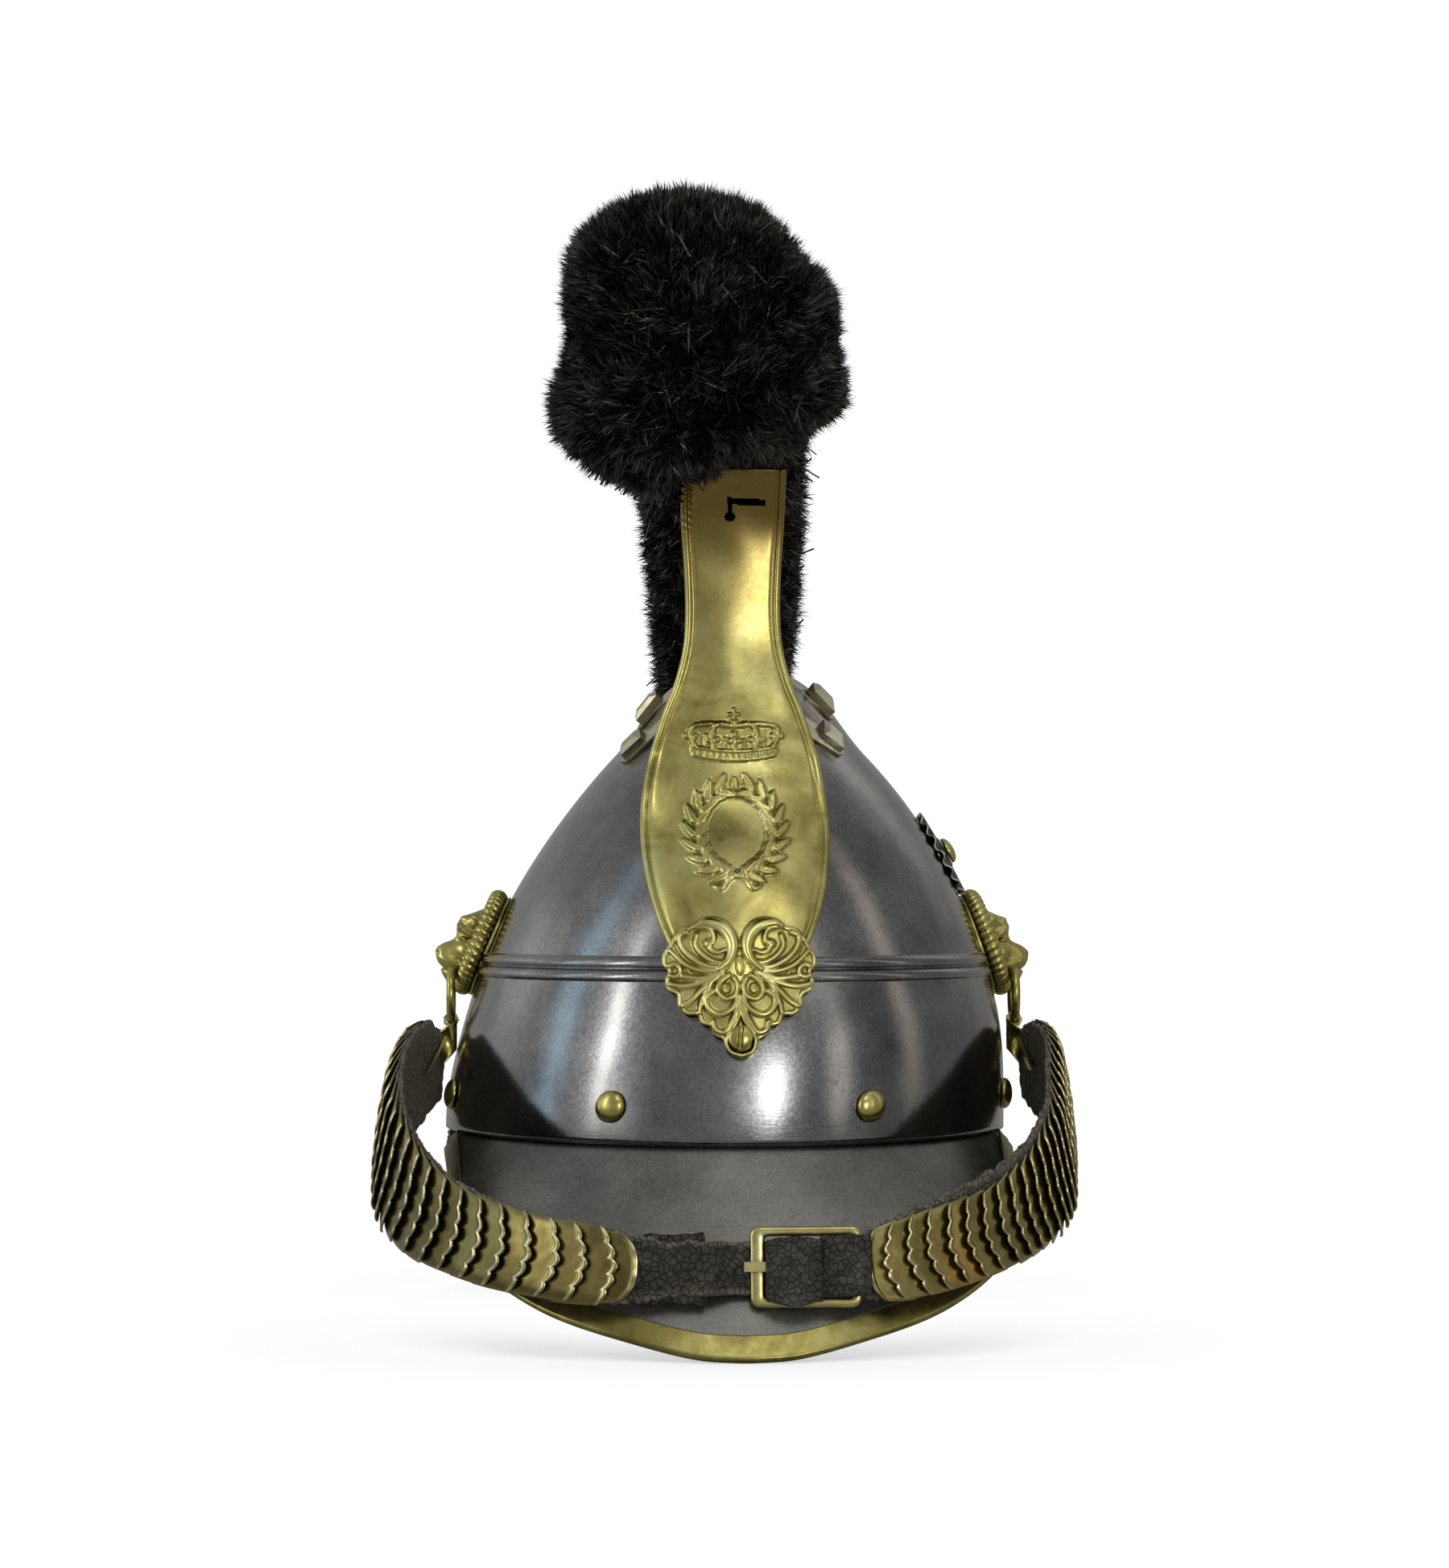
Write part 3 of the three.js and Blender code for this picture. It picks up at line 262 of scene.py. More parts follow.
def steelMaterial(name, settings):
    s = Shader(name)
    stain = s.noise(34, 6, 0.6)
    speck = s.noise(1.1, 3, 0.7)
    base = s.ramp(stain, (0.3, settings["dark"]), (0.56, settings["mid"]), (0.75, settings["light"]))
    rust = s.ramp(s.noise(9, 8, 0.75), (0.6, 0.0), (0.72, settings["rust"]))
    base = s.mix(rust, base, settings["rustColour"])
    grain = s.ramp(speck, (0.35, 0.72), (0.62, 1.0))
    base = s.mix(1.0, base, grain, "MULTIPLY")
    if "edgeColour" in settings:
        base = s.mix(s.attribute("edge"), base, settings["edgeColour"])
    s.link(base, s.surface, "Base Color")
    scratch = s.noise(2.2, 2, 0.5, stretch=(0.25, 0.25, 3.5))
    rough = s.math("ADD", s.math("MULTIPLY", stain, settings["roughSpan"]), settings["rough"])
    rough = s.math("ADD", rough, s.math("MULTIPLY", rust, 0.35))
    rough = s.math("ADD", rough, s.math("MULTIPLY", s.math("SUBTRACT", speck, 0.5), 0.16))
    s.link(rough, s.surface, "Roughness")
    height = s.math("ADD", s.math("MULTIPLY", speck, settings["pits"]), s.math("MULTIPLY", scratch, 0.25))
    height = s.math("ADD", height, s.math("MULTIPLY", s.noise(60, 2), settings["dents"]))
    s.link(s.bump(height, settings["bump"], 0.12), s.surface, "Normal")
    setValue(s.surface, "Metallic", 1.0)
    return s.material


def brassMaterial(name, settings):
    s = Shader(name)
    patch = s.noise(16, 6, 0.62, distortion=0.6)
    fine = s.noise(2.4, 5, 0.65)
    base = s.ramp(patch, (0.3, settings["dark"]), (0.5, settings["mid"]), (0.72, settings["light"]))
    hollow = s.ramp(s.crevice(2.6), (0.25, 1.0), (0.85, 0.0))
    base = s.mix(s.math("MULTIPLY", hollow, settings["dirt"]), base, settings["dirtColour"])
    spots = s.ramp(s.noise(5, 7, 0.8), (0.6, 0.0), (0.7, 0.5))
    base = s.mix(spots, base, settings["spotColour"])
    rough = s.math("ADD", s.math("MULTIPLY", fine, 0.22), settings["rough"])
    rough = s.math("ADD", rough, s.math("MULTIPLY", hollow, 0.25))
    if "paintedTopFrom" in settings:  # painted reflection and shade: warmer and darker towards the plate's top
        split = s.add("ShaderNodeSeparateXYZ")
        s.link(s.place, split, 0)
        wander = s.math("MULTIPLY", s.math("SUBTRACT", patch, 0.5), 0.05)
        height = s.math("ADD", split.outputs["Z"], wander)
        paintedTop = s.add("ShaderNodeMapRange")
        s.link(height, paintedTop, "Value")
        setValue(paintedTop, "From Min", settings["paintedTopFrom"])
        setValue(paintedTop, "From Max", settings["paintedTopTo"])
        base = s.mix(s.math("MULTIPLY", paintedTop.outputs["Result"], 0.85), base, settings["paintedTopColour"])
    if "orangePatchAt" in settings:  # an orange patch over a few scales at one place
        near = s.add("ShaderNodeVectorMath", operation="DISTANCE")
        s.link(s.place, near, 0)
        near.inputs[1].default_value = settings["orangePatchAt"]
        orangePatch = s.ramp(near.outputs["Value"], (0.004, 0.9), (0.015, 0.0))
        orangePatch = s.math("MULTIPLY", orangePatch, s.ramp(fine, (0.35, 0.3), (0.6, 1.0)))
        base = s.mix(orangePatch, base, settings["orangePatchColour"])
    # edgeColour along the edge attribute; on the scales it is rubbed edges with painted glints
    if "edgeColour" in settings:
        edge = s.attribute("edge")
        base = s.mix(edge, base, settings["edgeColour"])
        rough = s.math("SUBTRACT", rough, s.math("MULTIPLY", edge, 0.12))
    s.link(base, s.surface, "Base Color")
    s.link(rough, s.surface, "Roughness")
    height = s.math("ADD", s.math("MULTIPLY", fine, 0.5), s.math("MULTIPLY", s.noise(28, 2), settings["dents"]))
    s.link(s.bump(height, settings["bump"], 0.2), s.surface, "Normal")
    setValue(s.surface, "Metallic", 1.0)
    return s.material


def leatherMaterial(name, settings):
    s = Shader(name)
    patch = s.noise(11, 7, 0.7, distortion=0.8)
    fine = s.noise(1.6, 6, 0.75)
    crack = s.ramp(s.cells(2.3), (0.0, 0.0), (0.09, 1.0))
    base = s.ramp(patch, (0.34, settings["dark"]), (0.52, settings["mid"]), (0.7, settings["scuff"]))
    base = s.mix(s.math("MULTIPLY", s.attribute("fray"), settings["fray"]), base, settings["frayColour"])
    base = s.mix(1.0, base, s.ramp(fine, (0.3, 0.6), (0.7, 1.15)), "MULTIPLY")
    base = s.mix(1.0, base, s.ramp(crack, (0.0, 0.35), (1.0, 1.0)), "MULTIPLY")
    s.link(base, s.surface, "Base Color")
    s.link(s.math("ADD", s.math("MULTIPLY", patch, 0.35), settings["rough"]), s.surface, "Roughness")
    height = s.math("ADD", s.math("MULTIPLY", crack, 0.8), s.math("MULTIPLY", fine, 0.9))
    s.link(s.bump(height, settings["bump"], 0.5), s.surface, "Normal")
    return s.material


def furMaterial(name, settings):
    s = Shader(name)
    tip = s.attribute("tip")
    toneAndGlint = s.attribute("toneAndGlint")
    # lighter tips on some strands: partly the fur's own tone, partly painted glints
    colour = s.mix(s.math("MULTIPLY", tip, toneAndGlint), settings["root"], settings["tip"])
    s.link(colour, s.surface, "Base Color")
    setValue(s.surface, "Roughness", settings["rough"])
    setValue(s.surface, "Specular IOR Level", settings["shine"])
    return s.material


steel = steelMaterial("polishedSteel", {
    "dark": (0.16, 0.155, 0.165), "mid": (0.3, 0.3, 0.315), "light": (0.42, 0.42, 0.44),
    "rust": 0.35, "rustColour": (0.12, 0.085, 0.07), "rough": 0.07, "roughSpan": 0.17,
    "pits": 0.45, "dents": 0.8, "bump": 0.35,
})
satinSteel = steelMaterial("satinSteel", {
    "dark": (0.17, 0.17, 0.165), "mid": (0.27, 0.27, 0.258), "light": (0.37, 0.37, 0.35),
    "rust": 0.5, "rustColour": (0.14, 0.105, 0.08), "rough": 0.34, "roughSpan": 0.16,
    "pits": 0.8, "dents": 0.5, "bump": 0.4,
})
discSteel = steelMaterial("discSteel", {
    "dark": (0.05, 0.05, 0.05), "mid": (0.1, 0.1, 0.1), "light": (0.3, 0.3, 0.29),
    "rust": 0.4, "rustColour": (0.06, 0.05, 0.04), "rough": 0.3, "roughSpan": 0.2,
    "pits": 0.6, "dents": 0.4, "bump": 0.4, "edgeColour": (0.66, 0.64, 0.56),
})
brassLook = {
    "dark": (0.3, 0.255, 0.075), "mid": (0.47, 0.42, 0.135), "light": (0.62, 0.57, 0.23),
    "dirt": 0.8, "dirtColour": (0.07, 0.055, 0.018), "spotColour": (0.22, 0.17, 0.06),
    "rough": 0.16, "dents": 0.7, "bump": 0.35,
}
brass = brassMaterial("brass", brassLook)
castBrass = brassMaterial("castBrass", {**brassLook, "dirt": 0.92, "rough": 0.14, "bump": 0.25})
# the plate's brass gets a painted warm reflection and shade towards its top
plateBrass = brassMaterial("plateBrass", {
    **brassLook, "mid": (0.53, 0.48, 0.17), "light": (0.72, 0.67, 0.3), "bump": 0.3,
    "paintedTopFrom": 0.222, "paintedTopTo": 0.27, "paintedTopColour": (0.2, 0.125, 0.036),
})
trimBrass = brassMaterial("trimBrass", {
    **brassLook, "dark": (0.17, 0.145, 0.045), "mid": (0.3, 0.265, 0.085), "light": (0.5, 0.46, 0.2), "rough": 0.2,
})
palmetteBrass = brassMaterial("palmetteBrass", {
    **brassLook, "dark": (0.5, 0.45, 0.16), "mid": (0.72, 0.66, 0.26), "light": (0.88, 0.83, 0.42),
    "rough": 0.13, "bump": 0.15, "dirt": 0.95, "dirtColour": (0.09, 0.07, 0.022),
})
paleBrass = brassMaterial("paleBrass", {
    **brassLook, "dark": (0.42, 0.39, 0.27), "mid": (0.6, 0.57, 0.42), "light": (0.72, 0.7, 0.58),
    "dirtColour": (0.12, 0.1, 0.06),
})
buckleBrass = brassMaterial("buckleBrass", {
    **brassLook, "dark": (0.36, 0.33, 0.13), "mid": (0.55, 0.51, 0.22), "light": (0.72, 0.68, 0.36),
    "rough": 0.12, "bump": 0.12, "dents": 0.4,
})
# the scales' edgeColour: rubbed edges, plus painted glints along the lobes
scaleLook = {
    **brassLook, "dark": (0.11, 0.09, 0.032), "mid": (0.2, 0.165, 0.06), "light": (0.33, 0.28, 0.11),
    "rough": 0.14, "spotColour": (0.34, 0.15, 0.05), "edgeColour": (0.86, 0.82, 0.5),
}
scaleBrass = brassMaterial("scaleBrass", scaleLook)
paleScaleBrass = brassMaterial("paleScaleBrass", {
    **scaleLook, "dark": (0.2, 0.165, 0.055), "mid": (0.36, 0.3, 0.11), "light": (0.55, 0.48, 0.2),
    "spotColour": (0.5, 0.22, 0.07),
    "orangePatchAt": (0.063, -0.136, 0.027), "orangePatchColour": (0.72, 0.27, 0.06),
})
leather = leatherMaterial("leather", {
    "dark": (0.015, 0.0148, 0.013), "mid": (0.034, 0.0325, 0.028), "scuff": (0.12, 0.114, 0.098),
    "fray": 0.9, "frayColour": (0.29, 0.26, 0.21), "rough": 0.3, "bump": 0.9,
})
skinColour = (0.0012, 0.001, 0.001)
furSkin = furMaterial("furSkin", {"root": skinColour, "tip": skinColour, "rough": 1.0, "shine": 0.0})
fur = furMaterial("fur", {
    "root": (0.0015, 0.0014, 0.0014), "tip": (0.1, 0.086, 0.072), "rough": 0.34, "shine": 0.7,
})
print("materials ready")


# The skull's form
skullForm = {
    "base": 64, "rise": 160, "halfWidth": 96.5, "halfLength": 118,
    "side": 0.78, "front": 0.74, "crown": 0.2, "baseLean": 3, "crownLean": 2.5,
    "wall": 1.2, "bead": 120, "ridge": 2.15, "ridgeHalf": 1.85, "ridgeHigh": 1.5,
    "turns": 256, "lowRows": 28, "beadRows": 46, "domeRows": 62, "insideRows": 48,
}


def leanAt(h):  # how far the shell leans to one side
    return skullForm["baseLean"] * smooth(64, 112, h) + skullForm["crownLean"] * smooth(112, 184, h)


def skullHalf(h):
    rise = np.clip((h - skullForm["base"]) / skullForm["rise"], 0, 1)
    share = 1 - rise * rise
    crown = skullForm["crown"] * smooth(0.8, 1, rise)
    side = skullForm["halfWidth"] * share ** (skullForm["side"] - crown)
    return side, skullForm["halfLength"] * share ** (skullForm["front"] - crown)


def skullPoint(turn, h, offset=0.0):
    side, front = skullHalf(h)
    side, front = np.maximum(side + offset, 0), np.maximum(front + offset, 0)
    turn, h, side, front = np.broadcast_arrays(turn, h, side, front)
    return np.stack([leanAt(h) + side * np.sin(turn), -front * np.cos(turn), h], -1)


def skullFrontY(x, h, offset=0.0):
    side, front = skullHalf(h)
    across = np.minimum(0.98, np.abs(x - leanAt(h)) / (side + offset))
    return -(front + offset) * np.sqrt(1 - across**2)


def skullFrame(turn, h, lift=0.0):
    up = unit(skullPoint(turn, h + 1) - skullPoint(turn, h - 1))
    around = unit(skullPoint(turn + 0.01, h) - skullPoint(turn - 0.01, h))
    out = unit(np.cross(around, up))
    return skullPoint(turn, h) + out * lift, around, up, out


def onFrame(place, x, y, z):
    at, around, up, out = place
    return at + x[..., None] * around + y[..., None] * up + z[..., None] * out


def insideSkull(x, y, z):
    side, front = skullHalf(z)
    return ((x - leanAt(z)) / side) ** 2 + (y / front) ** 2 < 1


def dropToSkull(place, x, y):  # how far the skull lies below a flat seat
    low, high = np.zeros(np.shape(x)), np.full(np.shape(x), 12.0)
    for _ in range(18):
        middle = (low + high) / 2
        p = onFrame(place, x, y, -middle)
        inside = insideSkull(p[..., 0], p[..., 1], p[..., 2])
        low, high = np.where(inside, low, middle), np.where(inside, middle, high)
    return low


def crownHeight(x, y):  # the skull's height over a place on the floor
    low, high = np.full(np.shape(x), 64.0), np.full(np.shape(x), 224.0)
    for _ in range(24):
        middle = (low + high) / 2
        inside = insideSkull(x, y, middle)
        low, high = np.where(inside, middle, low), np.where(inside, high, middle)
    return low


def beadOut(h):
    f = skullForm
    low, high = [1 - ((h - f["bead"] - side * f["ridge"]) / f["ridgeHalf"]) ** 2 for side in (-1, 1)]
    return f["ridgeHigh"] * np.sqrt(np.clip(np.maximum(low, high), 0, 1))


def skullPiece():
    f = skullForm
    base, belowBead, aboveBead = f["base"], 115.7, 124.6
    apex = math.asin(61 / 160)
    heights = np.concatenate([
        np.linspace(base, belowBead - 0.3, f["lowRows"]), np.linspace(belowBead, aboveBead, f["beadRows"]),
        base + f["rise"] * np.sin(np.linspace(apex, math.pi / 2, f["domeRows"])),
    ])
    turn = np.linspace(0, 2 * math.pi, f["turns"], endpoint=False)[None, :]
    outer = skullPoint(turn, heights[:, None], beadOut(heights)[:, None])
    inside = base + 158.6 * np.sin(np.linspace(math.pi / 2, 0, f["insideRows"]))
    inner = skullPoint(turn, inside[:, None], -f["wall"])
    mesh = tubeMesh("skullShell", np.concatenate([outer, inner]), closeRows=True)
    addPiece("skullShell", mesh, steel, ["skull"])


skullPiece()
print("skull")

# The peak and the neck guard, with the brass folded round their edges
skirtForm = {
    "edgeRise": 1.1, "flange": 12, "bulge": 1.5, "inset": 2.75, "columns": 160, "rows": 22, "wall": 1.2,
    "trimDepth": 7.4, "trimHalf": 1.55, "trimInner": 0.85, "trimSides": 14,
}
peakRows = [
    {"turn": 0, "reach": 40.5, "drop": 1}, {"turn": 6, "reach": 40.3, "drop": 0.985},
    {"turn": 14, "reach": 39.5, "drop": 0.915}, {"turn": 25, "reach": 38.5, "drop": 0.8},
    {"turn": 34, "reach": 36, "drop": 0.66}, {"turn": 44, "reach": 28, "drop": 0.5},
    {"turn": 54, "reach": 17, "drop": 0.33}, {"turn": 64, "reach": 7.5, "drop": 0.19},
    {"turn": 76, "reach": 1.5, "drop": 0.06},
]
guardRows = [
    {"turn": 0, "reach": 37, "drop": 1}, {"turn": 12, "reach": 37, "drop": 1},
    {"turn": 24, "reach": 35.5, "drop": 1}, {"turn": 36, "reach": 30, "drop": 0.93},
    {"turn": 48, "reach": 20, "drop": 0.71}, {"turn": 60, "reach": 10, "drop": 0.42},
    {"turn": 72, "reach": 3, "drop": 0.16}, {"turn": 80, "reach": 1, "drop": 0.06},
]


# points of the sheet's middle; share is 0 at the skull, 1 at the edge and below 0 inside the skull
def skirtGrid(rows, middle, share):
    f, base = skirtForm, skullForm["base"]
    last = math.radians(rows[-1]["turn"])
    turn = np.linspace(-last, last, f["columns"])
    width, length = skullForm["halfWidth"], skullForm["halfLength"]
    out = unit(np.stack([np.sin(middle + turn) / width, -np.cos(middle + turn) / length, 0 * turn], -1))
    reach = tableValue(rows, "turn", np.degrees(np.abs(turn)), "reach")
    drop = (base - f["edgeRise"]) * tableValue(rows, "turn", np.degrees(np.abs(turn)), "drop")
    foot = skullPoint(middle + turn, float(base), -f["inset"])
    grid = []
    for s in share:
        if s < 0:
            grid.append(skullPoint(middle + turn, base - s * f["flange"], -f["inset"] - 0.4))
        else:
            bulge = f["bulge"] * math.sin(math.pi * s) * np.minimum(1, drop / 30)
            point = foot + out * ((reach + f["inset"]) * s + bulge)[:, None]
            point[:, 2] = base - drop * s
            grid.append(point)
    return np.array(grid), out


def skirtPieces(prefix, rows, middle, nodes):
    f = skirtForm
    share = np.concatenate([[-1, -0.5, -0.02], np.linspace(0.02, 1, f["rows"])])
    grid, out = skirtGrid(rows, middle, share)
    along = unit(np.gradient(grid, axis=0))
    square = unit(np.stack([-out[:, 0] * along[..., 2], -out[:, 1] * along[..., 2],
                            np.sum(along * out, axis=-1)], -1))
    half = f["wall"] / 2
    points, faces = shellPoints(grid - square * half, grid + square * half)
    addPiece(prefix + "Sheet", makeMesh(prefix + "Sheet", points, faces), satinSteel, [nodes[0]])
    # trim: a U that closes round the edge
    depth, outer, inner = f["trimDepth"], f["trimHalf"], f["trimInner"]
    bend = np.linspace(-math.pi / 2, math.pi / 2, f["trimSides"])
    section = [(-depth, -outer), (-depth + 0.3, -outer)]
    section += [(-0.3 + 1.45 * math.cos(a), outer * math.sin(a)) for a in bend]
    section += [(-depth + 0.3, outer), (-depth, outer)]
    section = np.array(section + [(-depth, inner), (0.2, inner), (0.2, -inner), (-depth, -inner)])
    columns = slice(4, -4)
    end, last, side = grid[-1][columns], along[-1][columns], square[-1][columns]
    ring = end[:, None] + last[:, None] * section[None, :, :1] + side[:, None] * section[None, :, 1:]
    ring[..., 2] = np.maximum(ring[..., 2], 0.0)
    addPiece(prefix + "Edge", tubeMesh(prefix + "Edge", ring), trimBrass, [nodes[1]])


skirtPieces("peak", peakRows, 0.0, ["peak", "peak_trim"])
skirtPieces("guard", guardRows, math.pi, ["neck_guard", "neck_guard_trim"])
print("peak and neck guard")


# Raised work: ridges and domes stamped on a grid of heights
# low relief stamped into a grid of heights; every shape keeps the higher of the two
def stampLine(height, gx, gz, line, half, high, foot=0.0, count=40):
    points = np.zeros((len(line), 4))
    points[:, :2] = line
    points[:, 2], points[:, 3] = half, high
    points = throughPoints(points, np.linspace(0, 1, count))
    wide = points[:, 2].max() * 1.05
    near = ((gx > points[:, 0].min() - wide) & (gx < points[:, 0].max() + wide)
            & (gz > points[:, 1].min() - wide) & (gz < points[:, 1].max() + wide))
    x, z = gx[near], gz[near]
    if not len(x):
        return
    best = np.zeros(len(x))
    for a, b in zip(points[:-1], points[1:]):
        along = b[:2] - a[:2]
        t = np.clip(((x - a[0]) * along[0] + (z - a[1]) * along[1]) / max(along @ along, 1e-9), 0, 1)
        away = np.hypot(x - a[0] - t * along[0], z - a[1] - t * along[1])
        width = a[2] + (b[2] - a[2]) * t
        top = a[3] + (b[3] - a[3]) * t
        best = np.maximum(best, top * np.sqrt(np.clip(1 - (away / np.maximum(width, 1e-6)) ** 2, 0, 1)))
    raised = np.where(best > 0, foot + best, -9.0)
    height[near] = np.maximum(height[near], raised)


def stampDome(height, gx, gz, x, z, halfX, halfZ, high, foot=0.0):
    away = ((gx - x) / halfX) ** 2 + ((gz - z) / halfZ) ** 2
    raised = np.where(away < 1, foot + high * np.sqrt(np.clip(1 - away, 0, 1)), -9.0)
    np.maximum(height, raised, out=height)


def stampLeaf(height, gx, gz, foot, tip, half, high):
    along = np.array(tip, float) - foot
    length = math.hypot(*along)
    along /= length
    u = ((gx - foot[0]) * along[0] + (gz - foot[1]) * along[1]) / length
    v = (gx - foot[0]) * -along[1] + (gz - foot[1]) * along[0]
    share = np.clip(u, 0, 1)
    width = half * np.sqrt(np.clip(np.sin(math.pi * share**0.8), 0, 1)) * (1 - 0.35 * share)
    body = np.sqrt(np.clip(1 - (v / np.maximum(width, 1e-4)) ** 2, 0, 1))
    vein = 0.35 * np.exp(-((v / 0.28) ** 2))
    inside = (u > 0) & (u < 1) & (np.abs(v) < width)
    np.maximum(height, np.where(inside, high * (body - vein * body), -9.0), out=height)


# The front plate
plateForm = {
    "columns": 141, "rows": 361, "thickness": 1, "standOff": 2.3,
    "rimIn": 1.15, "rimHalf": 1.15, "rimHigh": 1.15,
    "slot": {"x": 4.3, "z": 274.6, "half": 6.6, "tall": 1.35}, "hole": {"x": -1.0, "z": 269.8, "radius": 2.0},
}
plateRows = [
    {"height": 118, "half": 16}, {"height": 124, "half": 20.6}, {"height": 135, "half": 25.8},
    {"height": 148, "half": 29.3}, {"height": 162, "half": 31}, {"height": 174, "half": 30.8},
    {"height": 187, "half": 28.6}, {"height": 196, "half": 26.2}, {"height": 206, "half": 22.8},
    {"height": 214, "half": 19.6}, {"height": 226, "half": 16.6}, {"height": 238, "half": 15.8},
    {"height": 252, "half": 16.2}, {"height": 268, "half": 17.2}, {"height": 285, "half": 17.6},
]
neckRows = [
    {"height": 150, "front": -91}, {"height": 165, "front": -84.5}, {"height": 180, "front": -77.5},
    {"height": 200, "front": -70.5}, {"height": 225, "front": -65}, {"height": 250, "front": -62.5},
    {"height": 270, "front": -63.5}, {"height": 285, "front": -70},
]


def plateY(x, h):
    onNeck = smooth(158, 192, h)
    onSkull = skullFrontY(x, h) - plateForm["standOff"] - plateForm["thickness"]
    neck = tableValue(neckRows, "height", np.maximum(150, h), "front") + 0.006 * x * x
    return onSkull * (1 - onNeck) + neck * onNeck


coronetForm = {"foot": 188.2, "half": 13.4, "sag": 1.7, "band": 3.0, "high": 1.25, "leaves": 5}
wreathForm = {"middle": 165, "x": 13.0, "z": 14.4, "leaves": 9, "half": 2.0, "length": 7.2, "high": 2.0}


def stampCoronet(height, gx, gz):
    c = coronetForm

    def sag(x):
        return c["foot"] + c["sag"] * (x / c["half"]) ** 2
    across = np.linspace(-c["half"], c["half"], 9)
    for lift, half in ((0.2, 0.55), (c["band"], 0.6)):
        stampLine(height, gx, gz, [(x * (1 + 0.012 * lift), sag(x) + lift) for x in across], half, 1.0, 0.2)
    stampLine(height, gx, gz, [(x, sag(x) + c["band"] / 2) for x in across], c["band"] / 2, 0.45)
    for x in np.linspace(-c["half"] * 0.93, c["half"] * 0.93, 13):
        stampDome(height, gx, gz, x, sag(x) + c["band"] / 2, 0.55, 0.55, 0.8, 0.25)
    for i in range(c["leaves"]):
        share = -1 + 2 * i / (c["leaves"] - 1)
        x, z = share * c["half"] * 0.95, sag(share * c["half"]) + c["band"]
        lean = share * 2.2
        stampLine(height, gx, gz, [(x, z), (x + lean * 0.5, z + 3.2)], 0.6, 1.1)
        for dx, dz, size in ((-1.45, 3.6, 1.15), (1.45, 3.6, 1.15), (0, 5.6, 1.35), (0, 3.4, 0.9)):
            stampDome(height, gx, gz, x + lean * 0.7 + dx, z + dz, size, size, c["high"])
        if i < c["leaves"] - 1:
            half = c["half"] / (c["leaves"] - 1) * 0.95
            stalk = [(x + half, sag(x + half) + c["band"]), (x + half * 1.05, z + 2.6)]
            stampLine(height, gx, gz, stalk, 0.4, 0.8)
            stampDome(height, gx, gz, x + half * 1.08, z + 3.6, 0.85, 0.85, 1.05)
    for share in (-1, -0.52, 0.52, 1):  # arches with pearls
        x = share * c["half"] * 0.95
        foot = sag(x) + c["band"]
        arch = [(x, foot), (x * 1.13, foot + 3.2), (x * 1.12, foot + 6.4), (x * 0.72, 200.4), (0, 199.6)]
        stampLine(height, gx, gz, arch, 0.85, 1.3, 0.1)
        for point in throughPoints(arch, np.linspace(0.1, 0.92, 7)):
            stampDome(height, gx, gz, point[0], point[1], 0.55, 0.55, 1.75)
    stampDome(height, gx, gz, 0, 201, 1.3, 1.3, 1.6)
    stampLine(height, gx, gz, [(0, 201), (0, 205.4)], 0.62, 1.2)
    stampLine(height, gx, gz, [(-1.7, 203.6), (1.7, 203.6)], 0.55, 1.2)


def stampWreath(height, gx, gz):
    w = wreathForm
    for side in (-1, 1):
        stem = [(side * w["x"] * math.cos(a), w["middle"] + w["z"] * math.sin(a))
                for a in np.radians(np.linspace(-96, 64, 14))]
        stampLine(height, gx, gz, stem, 0.55, 0.9)
        for i in range(w["leaves"]):
            turn = math.radians(-78 + i * 17.5)
            foot = (side * w["x"] * math.cos(turn), w["middle"] + w["z"] * math.sin(turn))
            for splay in (-0.62, 0.62):
                aim = turn + math.pi / 2 + splay
                tip = (foot[0] + side * w["length"] * math.cos(aim), foot[1] + w["length"] * math.sin(aim))
                stampLeaf(height, gx, gz, foot, tip, w["half"], w["high"])
            if i % 2:
                out = (foot[0] + side * 2.6 * math.cos(turn), foot[1] + 2.6 * math.sin(turn))
                stampDome(height, gx, gz, *out, 0.75, 0.75, 1.25)
        tail = [(side * x, z) for x, z in ((0.8, 150.4), (3.4, 148.6), (5.2, 146.2), (7.4, 146.8))]
        stampLine(height, gx, gz, tail, [0.9, 1.0, 1.0, 0.5], 0.95)
        loop = [(side * x, z) for x, z in ((0.6, 150.6), (3.0, 153.2), (5.6, 152.2), (4.0, 150.0), (0.8, 150.2))]
        stampLine(height, gx, gz, loop, 0.6, 1.1)
    stampDome(height, gx, gz, 0, 150.5, 1.3, 1.4, 1.7)
    stampLeaf(height, gx, gz, (0, 178.4), (0, 183.2), 1.5, 1.3)


